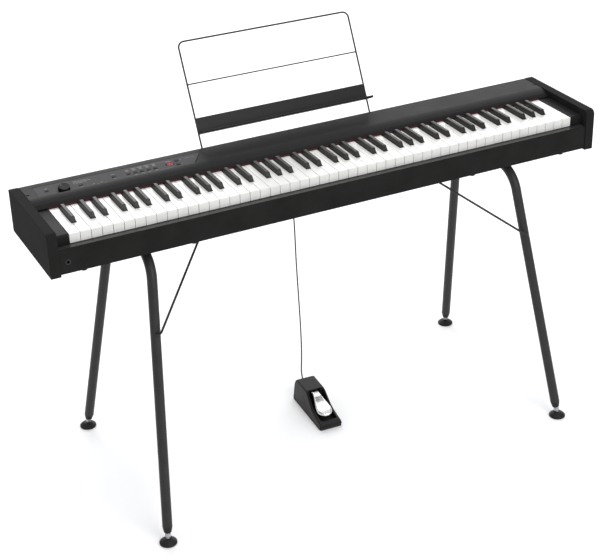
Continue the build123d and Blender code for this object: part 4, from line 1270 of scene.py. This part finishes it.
def pedal_spoon():
    """A flat neck that broadens into a spoon with a coved rim, drawn out face by face."""
    spoon = block("spoon", (-9.5, 50, 46.6 - LEVER_THICKNESS), (9.5, 58, 46.6))
    pick(spoon, "FACE", facing(y=-1))
    place = (50, 46.6, 9.5)
    for y, z, half in LEVER_LINE:
        extrude(y=y - place[0], z=z - place[1])
        stretch((half / place[2], 1, 1), (0, y, z))
        place = (y, z, half)
    pick(spoon, "EDGE", lambda e: len(e.link_faces) == 2
         and all(v.co.y < 0.012 for v in e.verts)
         and e.calc_face_angle(0) > math.radians(60)
         and max(f.normal.z for f in e.link_faces) > 0.8)
    round_over(4.4, 7, 0.45)
    put_down()
    soften(spoon, 0.5, 3)
    hub = turned("hub", (-8, *PEDAL_PIVOT), (1, 0, 0), [
        (16, 2.6), (16, 6.1), (15.6, 6.5), (0.4, 6.5), (0, 6.1), (0, 2.55), (15.9, 2.55)], 32)
    fit(onto_floor(join("pedal_spoon", [spoon, hub])), "pedal_lever", chrome, "lever_chrome",
        "pedal_lever")


pedal_spoon()


def pedal_pivot_pin():
    pin = turned("pedal_pivot_pin", (-24.5, *PEDAL_PIVOT), (1, 0, 0),
                 [(0, 2.0), (0.5, 2.5), (48.5, 2.5), (49, 2.0)], 24)
    fit(onto_floor(pin), "piano", zinc_plate, "shaft_steel", "pedal_pin")


pedal_pivot_pin()


def angled_plug():
    """A right-angle phone plug: ribbed relief below, round body, barrel into the jack."""
    x, y, start = CORD_ROUTE[0]
    body = turned("plug_body", (x, y, start), (0, 0, 1), [
        (0, 2.2), (0.6, 2.7), *relief_ribs(2.2, 2.8, 3.0, 0.35),
        (14, 4.6), (14, 6.2), (14.8, 7), (40.6, 7), (41.6, 6.4), (42, 5.4)], 32)
    barrel = turned("plug_barrel", (x, y, LINE_JACK_Z), (0, -1, 0), [
        (4, 3.15), (25, 3.15), (25.4, 2.6), (26.2, 2.6), (26.6, 3.15), (29, 3.1), (31, 2.4),
        (33, 2.6), (34, 1.4)], 24)
    fit(join("angled_plug", [body, barrel]), "piano", plug_pvc, "plug_moulding", "pedal_plug")


angled_plug()

# ---- finishes of the nodes that stay as they are ---------------------------------------
STAYING = {
    "bottom_board": board_backing,
    "key_chassis": bed_steel,
    "key_shaft": zinc_plate,
    "contact_board": board_laminate,
    "main_board": board_laminate,
    "panel_board": board_laminate,
}
for node, finish in STAYING.items():
    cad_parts[node].data.materials.clear()
    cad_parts[node].data.materials.append(finish)

# ---- studio --------------------------------------------------------------------------
floor_finish = surface("pale_studio_floor", "#fdfdfc", "#fefefe", 900, (0.6, 0.7), 40, 0.02)


def studio():
    put_down()
    bpy.ops.mesh.primitive_plane_add(size=40)
    floor = named("studio_floor")
    floor.data.materials.append(floor_finish)
    for name, place, aim, size, power in (
        ("key_softbox", (0.4, -3.8, 2.6), (0, 0, 0.5), 2.4, 74),
        ("top_softbox", (0.2, 0.4, 3.8), (0, 0, 0.6), 3.0, 46),
        ("window_softbox", (3.6, 3.2, 2.3), (0.4, 0, 0.7), 3.6, 66),
        ("back_softbox", (0.2, 3.9, 2.5), (0, 0, 0.7), 2.6, 60),
    ):
        bpy.ops.object.light_add(type="AREA", location=place)
        lamp = bpy.context.active_object
        lamp.name = name
        lamp.data.size = size
        lamp.data.energy = power
        lamp.rotation_euler = (Vector(aim) - Vector(place)).to_track_quat("-Z", "Y").to_euler()
    world = bpy.data.worlds.new("studio_air")
    world.use_nodes = True
    air = world.node_tree.nodes["Background"]
    air.inputs["Color"].default_value = (0.96, 0.97, 1, 1)
    air.inputs["Strength"].default_value = 0.66
    bpy.context.scene.world = world
    bpy.context.scene.view_settings.view_transform = "Standard"


studio()
